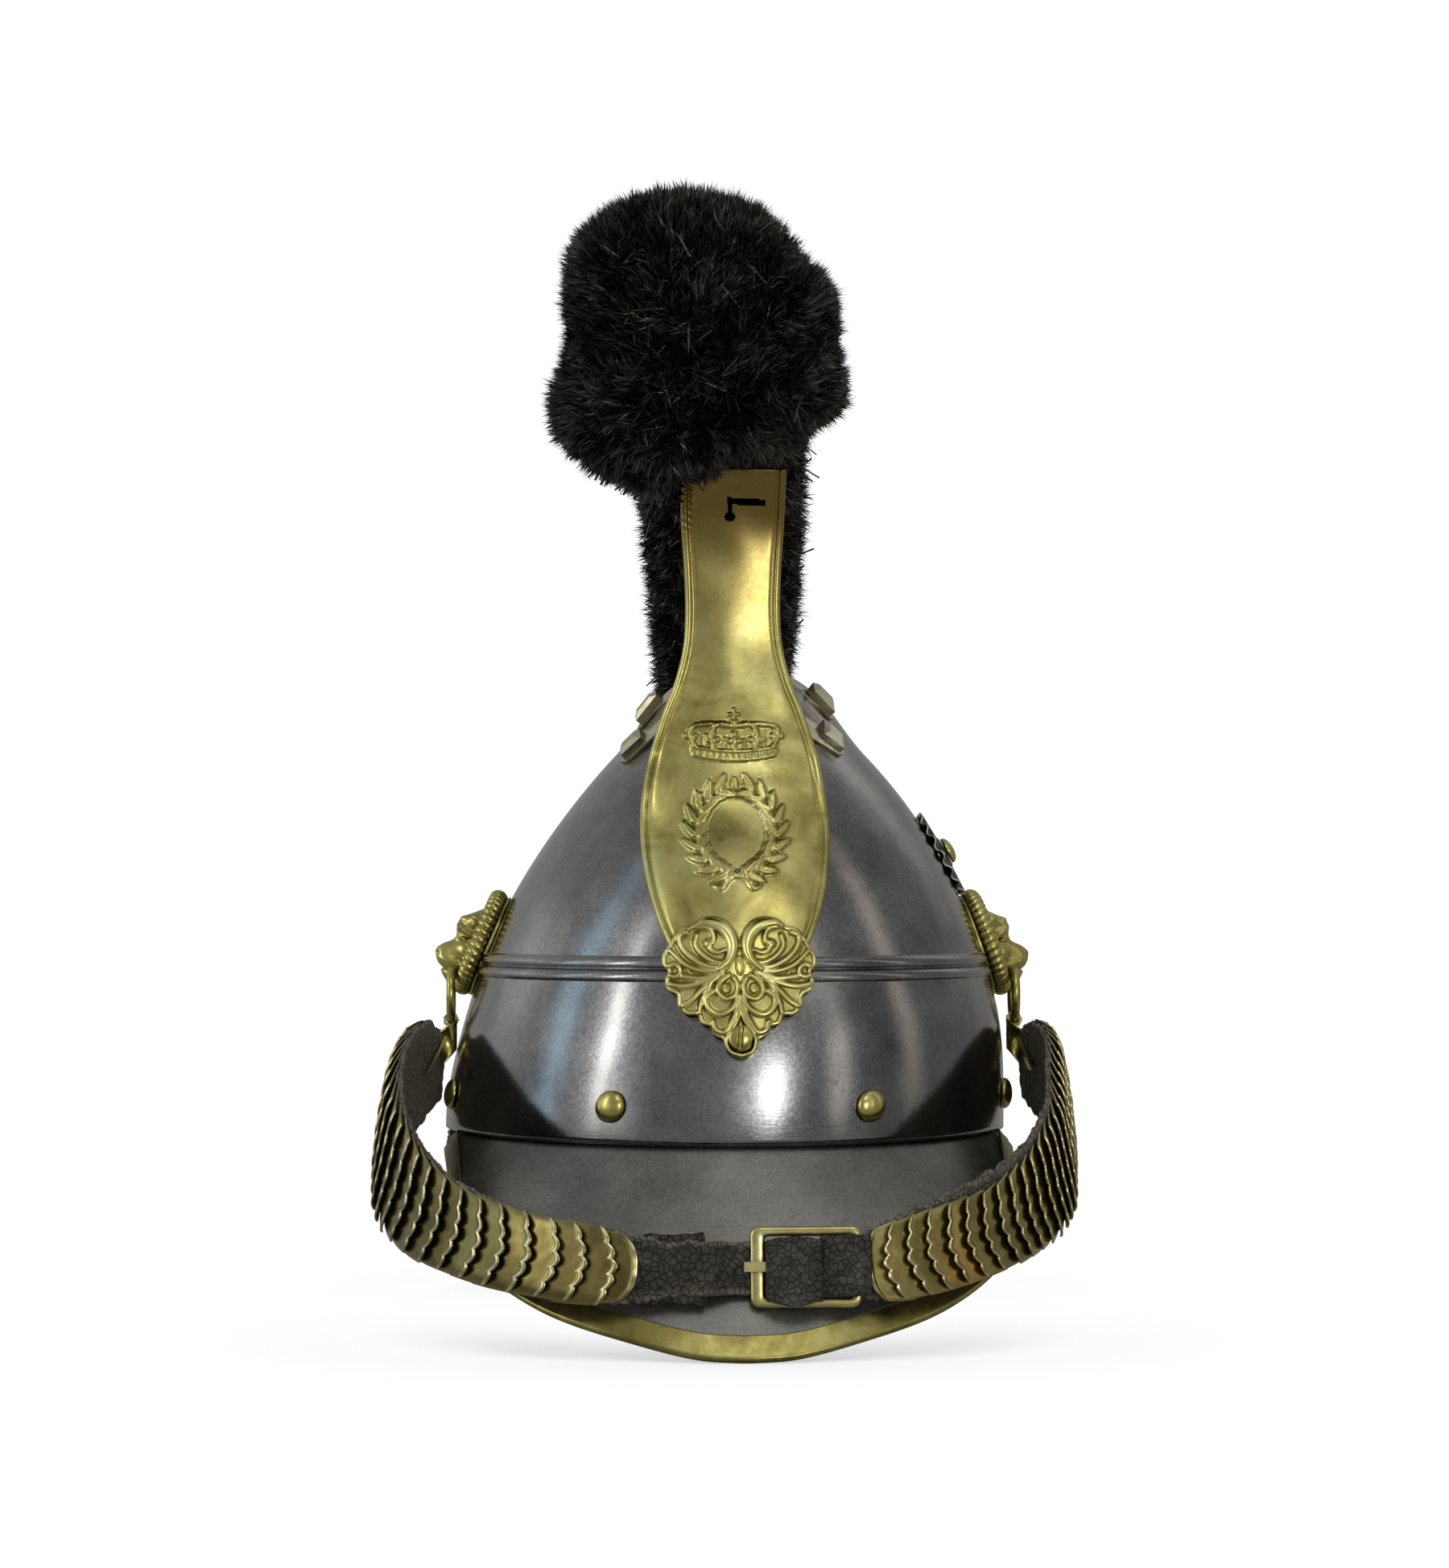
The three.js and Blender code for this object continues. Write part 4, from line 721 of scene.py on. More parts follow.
def platePiece():
    p = plateForm
    h = np.linspace(118, 285, p["rows"])
    spread = math.pi / 2 * 0.62  # finer columns towards the sides
    share = np.sin(np.linspace(-1, 1, p["columns"]) * spread) / math.sin(spread)
    half = tableValue(plateRows, "height", h, "half")
    gx = half[:, None] * share[None, :]
    gz = np.broadcast_to(h[:, None], gx.shape).copy()
    height = np.zeros(gx.shape)
    border = half[:, None] - np.abs(gx)  # distance from the side edge
    rim = np.sqrt(np.clip(1 - ((border - p["rimIn"]) / p["rimHalf"]) ** 2, 0, 1)) * p["rimHigh"]
    groove = 0.3 * np.exp(-(((border - 2.9) / 0.6) ** 2))  # inside the rim
    height = np.maximum(height, rim) - groove
    stampCoronet(height, gx, gz)
    stampWreath(height, gx, gz)
    rope = smooth(262, 282, gz) * smooth(6, 1.2, border) * (gx < 0)
    height += 0.7 * rope * np.sin(gz * 2.6 + gx * 1.2)
    height += 0.22 * waves(np.stack([gx, gz], -1), 30, 4) * smooth(1, 5, border)
    face = np.stack([gx, plateY(gx, gz) - height, gz], -1)
    back = np.stack([gx, plateY(gx, gz) + p["thickness"], gz], -1)
    # slot and keyhole
    slot, hole = p["slot"], p["hole"]
    slope = gz - slot["z"] + 0.05 * (gx - slot["x"])
    inSlot = (np.abs(gx - slot["x"]) < slot["half"]) & (np.abs(slope) < slot["tall"])
    inHole = (gx - hole["x"]) ** 2 + (gz - hole["z"]) ** 2 < hole["radius"] ** 2
    inNeck = (np.abs(gx - hole["x"]) < 0.9) & (gz > hole["z"]) & (gz < slot["z"])
    opening = inSlot | inHole | inNeck
    cells = opening[:-1, :-1] & opening[1:, :-1] & opening[:-1, 1:] & opening[1:, 1:]
    frontFaces = gridFaces(*gx.shape)[~cells.ravel()]
    rowsBack, columnsBack = np.arange(0, p["rows"], 6), np.arange(0, p["columns"], 5)
    n = gx.size
    coarse = back[np.ix_(rowsBack, columnsBack)]
    coarseFaces = gridFaces(len(rowsBack), len(columnsBack), start=n)[:, ::-1]
    middle = coarse[:-1, :-1, 2].ravel() + (rowsBack[1] - rowsBack[0]) * 0.2
    across = coarse[:-1, :-1, 0].ravel()
    keep = ~((middle > 266) & (middle < 277) & (across > -5) & (across < 11))
    index = np.arange(n).reshape(gx.shape)
    edge = np.concatenate([index[0, :-1], index[:-1, -1], index[-1, :0:-1], index[:0:-1, 0]])
    rimBack = back.reshape(-1, 3)[edge]
    start = n + coarse.shape[0] * coarse.shape[1]
    ring = np.arange(len(edge))
    after = np.roll(ring, -1)
    rimFaces = np.stack([edge, start + ring, start + after, edge[after]], -1)
    points = np.concatenate([face.reshape(-1, 3), coarse.reshape(-1, 3), rimBack])
    # inner walls of the slot
    walls, wallPoints, base = [], [], len(points)
    for i, j in zip(*np.nonzero(cells)):
        for (di, dj), (a, b) in {(-1, 0): ((0, 0), (0, 1)), (1, 0): ((1, 1), (1, 0)),
                                 (0, -1): ((1, 0), (0, 0)), (0, 1): ((0, 1), (1, 1))}.items():
            if not cells[i + di, j + dj]:
                pa, pb = (i + a[0], j + a[1]), (i + b[0], j + b[1])
                wallPoints += [face[pa], face[pb], back[pb], back[pa]]
                walls.append([base, base + 1, base + 2, base + 3])
                base += 4
    points = np.concatenate([points, np.array(wallPoints)])
    mesh = makeMesh("frontPlate", points, [frontFaces, coarseFaces[keep], rimFaces, np.array(walls)])
    addPiece("frontPlate", mesh, plateBrass, ["front_plate"])


platePiece()


def slotLining():  # the fur's dark skin, seen through the slot
    x, z = np.meshgrid(np.linspace(-8, 14, 12), np.linspace(264, 280, 9))
    front = np.stack([x, plateY(x, z) + plateForm["thickness"] + 0.35, z], -1)
    points, faces = shellPoints(front, front + np.array([0, 0.3, 0]))
    mesh = makeMesh("slotLining", points, faces)
    addValues(mesh, "tip", np.zeros(len(points)))
    addValues(mesh, "toneAndGlint", np.zeros(len(points)))
    addPiece("slotLining", mesh, furSkin)


slotLining()
print("front plate")

# The palmette: ridges given for one half, mirrored
palmetteForm = {
    "step": 0.3, "lift": 3.4, "thickness": 2.4, "wider": 1.3, "scrollWider": 1.12, "higher": 1.15, "foot": 0.5,
}
palmetteEdge = [
    (0, 128.4), (1.0, 132.3), (2.9, 134.8), (5.4, 136.5), (9.3, 137.1), (13.1, 136.1), (15.1, 134.2), (18.3, 133.6),
    (20.8, 131.3), (22.8, 127.8), (24.7, 124.6), (24.7, 121.4), (23.1, 119.5), (24.0, 116.3), (23.1, 113.4),
    (20.2, 111.8), (19.9, 108.6), (17.3, 105.7), (13.8, 105.4), (12.5, 102.8), (9.6, 101.8), (8.7, 99.3),
    (5.8, 97.7), (4.8, 94.8), (2.2, 92.5), (0, 91.9),
]
palmetteLines = [
    {"half": [0.5, 1.4, 1.9, 2.1, 2.1, 1.9, 1.5, 1.0], "high": 2.5,
     "line": [(14.1, 133.9), (11.9, 135.2), (9.3, 135.2), (5.6, 133.9), (3.2, 131.3), (2.3, 127.6), (3.4, 123.6),
              (6.7, 120.4)]},
    {"half": [0.5, 0.6, 0.6, 0.7, 0.9, 1.2], "high": 1.7,
     "line": [(14.1, 133.6), (11.2, 133.6), (9.0, 132.6), (8.2, 130.8), (8.6, 129.0), (10.2, 128.4)]},
    {"half": [1.0, 0.8, 0.7, 0.5], "high": 1.5, "line": [(10.0, 128.2), (9.2, 126.4), (7.0, 125.6), (4.6, 126.4)]},
    {"half": 0.75, "high": 1.7,
     "line": [(3.6, 122.6), (8.0, 122.6), (12.2, 125.0), (14.2, 128.2), (13.6, 131.0)]},
    {"half": 0.85, "high": 1.8,
     "line": [(4.0, 121.6), (9.6, 121.0), (15.1, 123.6), (18.6, 127.4), (19.2, 131.0), (17.0, 132.0)]},
    {"half": 0.7, "high": 1.6, "line": [(4.4, 120.6), (10.6, 119.6), (17.0, 121.4), (22.4, 126.2)]},
    {"half": 0.8, "high": 1.7, "line": [(5.4, 119.3), (12.0, 117.4), (18.6, 118.0)]},
    {"half": 0.7, "high": 1.7,
     "line": [(22.6, 121.2), (20.8, 121.7), (19.2, 120.4), (19.2, 118.8), (20.8, 117.8), (22.6, 118.2)]},
    {"half": 0.8, "high": 1.7, "line": [(5.6, 118.8), (12.5, 116.0), (18.3, 114.8), (22.4, 115.4)]},
    {"half": 0.8, "high": 1.7, "line": [(7.4, 117.7), (12.4, 113.6), (15.8, 110.2), (18.4, 108.6)]},
    {"half": 0.7, "high": 1.6, "line": [(9.4, 115.6), (12.2, 110.6), (13.2, 106.4)]},
    {"half": 0.8, "high": 2.1,
     "line": [(3.5, 118.3), (6.6, 116.0), (7.3, 113.2), (4.9, 110.9), (1.9, 111.9), (0.9, 115.0), (2.0, 117.4)]},
    {"half": 0.9, "high": 2.1,
     "line": [(0.5, 111.6), (2.9, 107.7), (7.2, 105.9), (10.4, 107.9), (10.9, 111.4), (8.7, 113.3)]},
    {"half": 0.8, "high": 1.8, "line": [(0.4, 109.8), (2.4, 104.6), (5.4, 100.3), (8.0, 101.0), (8.9, 103.6)]},
    {"half": 0.7, "high": 1.8,
     "line": [(0.2, 110.6), (1.1, 104.2), (3.2, 100.8), (4.7, 97.6), (3.6, 94.4), (0, 92.9)]},
]
palmetteHoles = [
    {"x": 4.4, "z": 114.2, "halfX": 1.7, "halfZ": 1.9}, {"x": 0, "z": 121.6, "halfX": 1.5, "halfZ": 3.4},
]


def insideOutline(outline, x, z):
    inside = np.zeros(x.shape, bool)
    for (ax, az), (bx, bz) in zip(outline, outline[1:] + outline[:1]):
        if az != bz:
            inside ^= ((az > z) != (bz > z)) & (x < ax + (z - az) * (bx - ax) / (bz - az))
    return inside


def distanceTo(outline, x, z):
    best = np.full(x.shape, 1e9)
    for (ax, az), (bx, bz) in zip(outline, outline[1:] + outline[:1]):
        dx, dz = bx - ax, bz - az
        t = np.clip(((x - ax) * dx + (z - az) * dz) / max(dx * dx + dz * dz, 1e-9), 0, 1)
        best = np.minimum(best, np.hypot(x - ax - t * dx, z - az - t * dz))
    return best


def palmettePiece():
    p = palmetteForm
    curve = throughPoints(palmetteEdge, np.linspace(0, 1, 120))
    half = [tuple(point) for point in curve]
    outline = half + [(-x, z) for x, z in half[::-1][1:-1]]
    xs = np.arange(-25.6, 25.6, p["step"])
    zs = np.arange(91.2, 138.0, p["step"])
    gx, gz = np.meshgrid(xs, zs)
    away = distanceTo(outline, gx, gz)
    inside = insideOutline(outline, gx, gz)
    signed = np.where(inside, away, -away)
    middle = np.hypot(gx, gz - 114)
    height = 0.55 + 0.9 * np.exp(-((middle / 11) ** 2))
    height = np.maximum(height, 0.5 + 1.1 * np.sqrt(np.clip(1 - ((signed - 0.75) / 0.8) ** 2, 0, 1)))
    for row in palmetteLines:
        for side in (-1, 1):
            line = [(side * x, z) for x, z in row["line"]]
            wider = p["scrollWider"] if row is palmetteLines[0] else p["wider"]
            stampLine(height, gx, gz, line, np.array(row["half"]) * wider, row["high"] * p["higher"], p["foot"])
    for row in palmetteHoles:
        for side in ((-1, 1) if row["x"] else (1,)):
            deep = ((gx - side * row["x"]) / row["halfX"]) ** 2 + ((gz - row["z"]) / row["halfZ"]) ** 2
            height = np.where(deep < 1, np.minimum(height, 0.1 + 1.0 * deep**3), height)
    seat = np.hypot(gx, gz - 97.5)
    height = np.where(seat < 3.9, np.minimum(height, 0.9), height)
    # border points slide to the outline
    grad = np.stack(np.gradient(signed, p["step"])[::-1], -1)
    edgeBand = np.abs(signed) < p["step"] * 1.1
    px = np.where(edgeBand & ~inside, gx - grad[..., 0] * signed, gx)
    pz = np.where(edgeBand & ~inside, gz - grad[..., 1] * signed, gz)
    use = inside | edgeBand
    cells = use[:-1, :-1] & use[1:, :-1] & use[:-1, 1:] & use[1:, 1:]
    cells &= (signed[:-1, :-1] > -p["step"]) | (signed[1:, 1:] > -p["step"])
    y = skullFrontY(px, pz) - p["lift"]
    front = np.stack([px, y - height, pz], -1)
    frontFaces = gridFaces(*gx.shape)[cells.ravel()]
    walls, wallPoints, base = [], [], front.shape[0] * front.shape[1]
    deep = np.array([0, p["thickness"], 0])
    padded = np.pad(cells, 1)
    for i, j in zip(*np.nonzero(cells)):
        for di, dj, a, b in ((-1, 0, (0, 0), (0, 1)), (1, 0, (1, 1), (1, 0)), (0, -1, (1, 0), (0, 0)),
                             (0, 1, (0, 1), (1, 1))):
            if not padded[i + 1 + di, j + 1 + dj]:
                pa, pb = front[i + a[0], j + a[1]], front[i + b[0], j + b[1]]
                wallPoints += [pa, pb, pb + deep, pa + deep]
                walls.append([base + 3, base + 2, base + 1, base])
                base += 4
    points = np.concatenate([front.reshape(-1, 3), np.array(wallPoints)])
    mesh = makeMesh("palmettePiece", points, [frontFaces, np.array(walls)])
    addPiece("palmetteRelief", mesh, palmetteBrass, ["palmette"])


palmettePiece()
print("palmette")

# Small heads: studs, the palmette's screw, the cockade's button
headForm = {
    "sides": 48, "rings": 14, "studs": 7, "studRadius": 5.2, "studHigh": 3.0, "studHeight": 76, "lift": 0.3,
}


def domePiece(name, place, radius, high, material, node, rim=0.0):
    a = np.linspace(0, 2 * math.pi, headForm["sides"], endpoint=False)
    bend = np.linspace(0.08, math.pi / 2, headForm["rings"])
    rows = [(0.0, 0.0), (1.0, 0.0), (1.0, 0.12 + rim)]  # share of the radius, share of the height
    rows += [(math.cos(t), 0.12 + rim + (0.88 - rim) * math.sin(t)) for t in bend]
    x, y, rise = radius * np.cos(a), radius * np.sin(a), np.ones(len(a)) * high
    grid = np.array([onFrame(place, r * x, r * y, z * rise) for r, z in rows])
    addPiece(name, tubeMesh(name, grid, inward=True), material, [node])


for i in range(headForm["studs"]):
    turn = 2 * math.pi * (i + 0.5) / headForm["studs"]
    place = skullFrame(turn, headForm["studHeight"], headForm["lift"])
    radius, high = headForm["studRadius"], headForm["studHigh"]
    domePiece(f"studHead{i + 1}", place, radius, high, castBrass, f"stud_{i + 1}")

screwForm = {"height": 97.5, "seat": 5.0, "radius": 3.9, "high": 1.7, "slot": 0.72, "deep": 1.25}


def screwPiece():
    f = screwForm
    turn = math.asin((0 - leanAt(f["height"])) / skullHalf(f["height"])[0])
    place = skullFrame(turn, f["height"], f["seat"])
    n = 44
    s = np.linspace(-1, 1, n)
    u, v = np.meshgrid(s, s)
    x = u * np.sqrt(1 - v * v / 2) * f["radius"]
    y = v * np.sqrt(1 - u * u / 2) * f["radius"]
    r = np.hypot(x, y) / f["radius"]
    z = f["high"] * np.sqrt(np.clip(1 - 0.8 * r * r, 0, 1))
    z = z - f["deep"] * smooth(f["slot"] + 0.12, f["slot"] - 0.12, np.abs(x))
    outer = onFrame(place, x, y, z)
    inner = onFrame(place, x, y, 0 * z)
    points, faces = shellPoints(outer, inner)
    addPiece("slottedScrew", makeMesh("slottedScrew", points, faces), castBrass, ["palmette_screw"])


screwPiece()

cockadeForm = {"turn": 86, "height": 157.4, "radius": 16, "flutes": 16, "wave": 0.85, "sides": 288, "thick": 2.8}


def cockadePiece():
    f = cockadeForm
    place = skullFrame(math.radians(f["turn"]), f["height"])
    a = np.linspace(0, 2 * math.pi, f["sides"], endpoint=False)
    ripple = power(np.cos(a * f["flutes"]), 0.8)

    def ring(share, high, wave):
        r = f["radius"] * share * (1 + 0.02 * ripple * wave)
        x, y = r * np.cos(a), r * np.sin(a)
        return onFrame(place, x, y, high + wave * f["wave"] * ripple - dropToSkull(place, x, y))

    rows = [  # share of the radius, height, share of the wave
        (0.0, 0.4, 0), (0.3, 0.5, 0), (0.6, 0.7, 0.4), (0.85, 1.0, 0.8), (0.985, 1.15, 1.0),
        (1.0, 1.4, 1.0), (0.99, 1.65, 1.0), (0.96, 1.75, 1.0), (0.88, 1.7, 0.9), (0.7, 1.7, 0.8), (0.5, 1.9, 0.5),
        (0.36, 2.2, 0.3), (0.32, 2.8, 0.0), (0.0, 2.8, 0.0),
    ]
    grid = np.array([ring(*row) for row in rows])
    mesh = tubeMesh("cockadeDisc", grid, inward=True)
    edge = np.interp(np.array([row[0] for row in rows]), (0.955, 0.985), (0.0, 1.0))
    addValues(mesh, "edge", np.repeat(edge, f["sides"]))
    addPiece("cockadeDisc", mesh, discSteel, ["cockade"])
    place = skullFrame(math.radians(f["turn"]), f["height"], f["thick"] + 0.3)
    domePiece("cockadeButton", place, 4.6, 2.6, castBrass, "cockade_button", 0.06)


cockadePiece()
print("studs, screw and cockade")

# The comb: thin walls under the fur, open towards the skull
combForm = {"wall": 0.9, "rows": 90, "side": 18, "bead": 1.1}
combRows = [
    (-88, -61, 262, 13), (-70, -58, 282, 15), (-56, -44, 283, 14), (-38, -24, 277, 12.5), (-16, 0, 266, 11.5),
    (8, 26, 250, 10.5), (32, 50, 230, 10), (54, 74, 206, 9.5), (74, 94, 180, 9), (88, 106, 158, 8.5),
    (96, 112, 142, 8),
]


def combPiece():
    f = combForm
    rows = throughPoints(combRows, np.linspace(0, 1, f["rows"]))
    footY, topY, topZ, half = rows.T
    share = np.linspace(0, 1, f["side"])

    def wall(side, inset):
        x = side * (half - inset)
        y = footY[:, None] + (topY - footY)[:, None] * share[None, :]
        foot = crownHeight(x, footY)
        z0 = foot + 0.35
        z1 = topZ - inset
        z = z0[:, None] + (z1 - z0)[:, None] * share[None, :]
        z = np.maximum(z, crownHeight(np.broadcast_to(x[:, None], y.shape), y) + 0.35)
        front = plateY(x[:, None], np.clip(z, 118, 285)) + 1.9
        return np.stack([np.broadcast_to(x[:, None], y.shape), np.maximum(y, front), z], -1)

    def section(inset):
        left, right = wall(-1, inset), wall(1, inset)
        across = np.linspace(0, 1, 9)[1:-1]
        top = left[:, -1][:, None] * (1 - across[None, :, None]) + right[:, -1][:, None] * across[None, :, None]
        return np.concatenate([left, top, right[:, ::-1]], axis=1)
    points, faces = shellPoints(section(0.0), section(f["wall"]))
    mesh = makeMesh("combWalls", points, [face[:, ::-1] for face in faces])
    addPiece("combWalls", mesh, brass, ["comb"])


combPiece()

# The comb's feet: the frame's own solids with softened edges
for name in ("front_right", "front_left", "middle_right", "middle_left"):
    softenNode("comb_foot_" + name, 0.5, 3, 30, paleBrass)
print("comb")

# Lion heads: a boss with a rope rim, a mane and a face stamped on it
lionForm = {"turn": 92, "height": 126, "radius": 19.5, "sides": 216, "rings": 70, "step": 0.25, "soften": 0.3,
            "ropeAt": 16.6, "ropeHalf": 2.8, "ropeMiddle": 4.1, "twists": 42, "twistDeep": 0.3}
# the face down its middle: distance up the disc, height and half width
lionProfile = [
    (12.5, 5.5, 9.5), (10.5, 7.6, 9.8), (8.5, 9.6, 9.6), (6.4, 11.9, 8.8), (4.2, 13.1, 7.8), (1.6, 12.9, 6.6),
    (-1.2, 12.0, 5.0), (-3.2, 13.0, 4.1), (-5, 15.0, 4.1), (-7, 16.4, 4.6), (-8.6, 16.8, 5.2), (-10, 16.2, 5.7),
    (-11.4, 15.2, 5.9), (-12.6, 14.2, 5.6), (-14, 13.2, 5.2), (-15.6, 11.8, 4.7), (-17.2, 9.6, 3.9),
    (-18.6, 6.8, 2.6),
]
lionDomes = [  # across, up, half across, half up, height
    (5.4, -4.6, 4.6, 5.4, 10.8), (3.1, 5.2, 3.9, 3.6, 12.9), (4.4, 1.9, 3.4, 1.6, 12.4),
    (4.5, -0.9, 1.5, 1.05, 11.2), (2.9, -9.9, 3.2, 3.0, 14.6), (9.3, 7.4, 2.6, 2.4, 9.6), (9.5, 7.2, 1.1, 1.1, 8.4),
]


def lionHeights(p, q):
    r = np.hypot(p, q)
    height = 1.2 + 4.6 * np.sqrt(np.clip(1 - (r / 17) ** 2, 0, 1))
    for inner, outer, high, count, shift in ((10.0, 14.6, 6.6, 24, 0.0), (8.4, 12.6, 7.8, 18, 0.5)):
        for i in range(count):
            a = 2 * math.pi * (i + shift) / count
            line = [(r0 * math.cos(a + 0.07 * k), r0 * math.sin(a + 0.07 * k))
                    for k, r0 in enumerate(np.linspace(inner, outer, 4))]
            stampLine(height, p, q, line, [1.3, 1.4, 1.2, 0.7], [high, high, high * 0.92, high * 0.7], count=8)
    rows = np.array(lionProfile[::-1], float)
    across = np.linspace(0, 1, 200)
    fine = throughPoints(rows, across)
    high, half = np.interp(q, fine[:, 0], fine[:, 1]), np.interp(q, fine[:, 0], fine[:, 2])
    body = high * np.clip(1 - np.abs(p / half) ** 2.6, 0, 1) ** 0.42
    body = np.where((q > -18.8) & (q < 12.4), body, 0)
    height = np.maximum(height, body)
    for x, z, halfX, halfZ, top in lionDomes:
        for side in (-1, 1):
            stampDome(height, p, q, side * x, z, halfX, halfZ, top)
    for side in (-1, 1):
        brow = [(side * 1.2, 2.6), (side * 4.4, 3.2), (side * 7.6, 1.2)]
        stampLine(height, p, q, brow, [1.3, 1.5, 1.0], [13.4, 12.8, 10.2], count=14)
        height -= 1.5 * np.exp(-(((p - side * 1.7) / 0.8) ** 2) - ((q + 8.9) / 0.7) ** 2)  # nostrils
        height -= 1.4 * np.exp(-(((p - side * 4.4) / 2.3) ** 2) - ((q - 0.5) / 0.55) ** 2)
        height -= 1.1 * np.exp(-(((p - side * 4.4) / 2.3) ** 2) - ((q + 2.4) / 0.6) ** 2)
        height -= 0.9 * np.exp(-(((p - side * 4.6) / 0.8) ** 2) - ((q + 7.0) / 2.6) ** 2)
    height -= 1.5 * np.exp(-((p / 5.2) ** 4) - ((q + 13.0 + 0.04 * p * p) / 0.55) ** 2)  # mouth
    height -= 0.8 * np.exp(-((p / 0.5) ** 2) - ((q + 11.0) / 1.2) ** 2)
    height -= 0.8 * np.exp(-((p / 0.6) ** 2) - ((q - 5.0) / 2.6) ** 2)
    return np.where((r > 15.2) & ((q > -14) | (np.abs(p) > 4.4)), np.minimum(height, 1.6), height)


def lionPiece(name, side):
    f = lionForm
    node = "lion_right" if side < 0 else "lion_left"
    place = skullFrame(math.radians(side * f["turn"]), f["height"])
    along = np.arange(-20.5, 20.51, f["step"])
    p, q = np.meshgrid(along, along)
    field = lionHeights(p, q)
    kernel = np.exp(-((np.arange(-5, 6) * f["step"] / f["soften"]) ** 2))
    for axis in (0, 1):
        field = np.apply_along_axis(np.convolve, axis, field, kernel / kernel.sum(), "same")
    a = np.linspace(0, 2 * math.pi, f["sides"], endpoint=False)
    r = 18.2 * np.linspace(0, 1, f["rings"])
    p, q = r[:, None] * np.cos(a), r[:, None] * np.sin(a)
    u, v = (p + 20.5) / f["step"], (q + 20.5) / f["step"]
    i, j = u.astype(int), v.astype(int)
    u, v = u - i, v - j
    height = ((field[j, i] * (1 - u) + field[j, i + 1] * u) * (1 - v)
              + (field[j + 1, i] * (1 - u) + field[j + 1, i + 1] * u) * v)
    drop = dropToSkull(place, p, q)
    grid = onFrame(place, p, q, height - drop * smooth(7, 15, r)[:, None])
    foot = onFrame(place, p[-1], q[-1], 0.3 - drop[-1])  # the rim comes down to the skull
    grid = np.concatenate([grid, (grid[-1] * 0.5 + foot * 0.5)[None], foot[None]])
    addPiece(name, tubeMesh(name, grid), castBrass, [node])
    # the twisted border, a thick cord of two strands
    turn = np.linspace(0, 2 * math.pi, 546, endpoint=False)[:, None]
    around = np.linspace(0, 2 * math.pi, 22, endpoint=False)[None, :]
    strand = np.abs(np.sin((f["twists"] * turn + around * side) / 2))
    deep = f["ropeHalf"] * (1 - f["twistDeep"] * (1 - strand**0.6))
    p, q = f["ropeAt"] * np.cos(turn), f["ropeAt"] * np.sin(turn)
    seat = f["ropeMiddle"] - dropToSkull(place, p, q)
    reach = f["ropeAt"] + deep * np.cos(around)
    grid = onFrame(place, reach * np.cos(turn), reach * np.sin(turn), seat + deep * 1.12 * np.sin(around))
    addPiece(name + "Rope", tubeMesh(name + "Rope", grid, closeRows=True), castBrass, [node])


for name, side in (("lionHeadRight", -1), ("lionHeadLeft", 1)):
    lionPiece(name, side)

# Rings in the mouths, and the folded links below them
ringForm = {"x": 97.7, "y": -4, "z": 109, "halfY": 6.5, "halfZ": 8.5, "wire": 1.5, "around": 72, "sides": 18}
for name, node, side in (("mouthRingRight", "ring_right", -1), ("mouthRingLeft", "ring_left", 1)):
    f = ringForm
    turn = np.linspace(0, 2 * math.pi, f["around"], endpoint=False)[:, None]
    a = np.linspace(0, 2 * math.pi, f["sides"], endpoint=False)[None, :]
    out = unit(np.stack([0 * turn, np.cos(turn) / f["halfY"], np.sin(turn) / f["halfZ"]], -1))
    middle = np.stack([0 * turn, f["halfY"] * np.cos(turn), f["halfZ"] * np.sin(turn)], -1)
    grid = middle + out * (f["wire"] * np.cos(a))[..., None]
    grid = grid + np.array([1.0, 0, 0]) * (f["wire"] * np.sin(a))[..., None]
    grid = grid + np.array([side * f["x"] + leanAt(f["z"]), f["y"], f["z"]])
    addPiece(name, tubeMesh(name, grid, closeRows=True), castBrass, [node])
leafForm = {"y": -12.6, "thick": 0.8, "bow": 1.6}
for name, corners in (("linkLeafRight", ((-92.6, 101), (-92.6, 90.5), (-97.2, 85.4), (-100.6, 95.6))),
                      ("linkLeafLeft", ((97.6, 101), (97.6, 90.5), (101.6, 85.4), (104.6, 95.6)))):
    share = np.linspace(0, 1, 13)
    u, v = share[None, :], share[:, None]
    c = np.array(corners, float)
    place = ((1 - u)[..., None] * ((1 - v)[..., None] * c[0] + v[..., None] * c[1])
             + u[..., None] * ((1 - v)[..., None] * c[3] + v[..., None] * c[2]))
    bow = leafForm["y"] + leafForm["bow"] * np.sin(math.pi * v) * (0.4 + u) + 4.0 * (1 - u) ** 3
    front = np.stack([place[..., 0], bow + 0 * place[..., 0], place[..., 1]], -1)
    points, faces = shellPoints(front, front + np.array([0, leafForm["thick"], 0]))
    addPiece(name, makeMesh(name, points, faces), brass)
for node, width in (("link_right", 0.5), ("link_left", 0.5), ("buckle_tongue", 0.7)):
    softenNode(node, width, 5, 28, buckleBrass)
print("lion heads, rings, links and buckle")

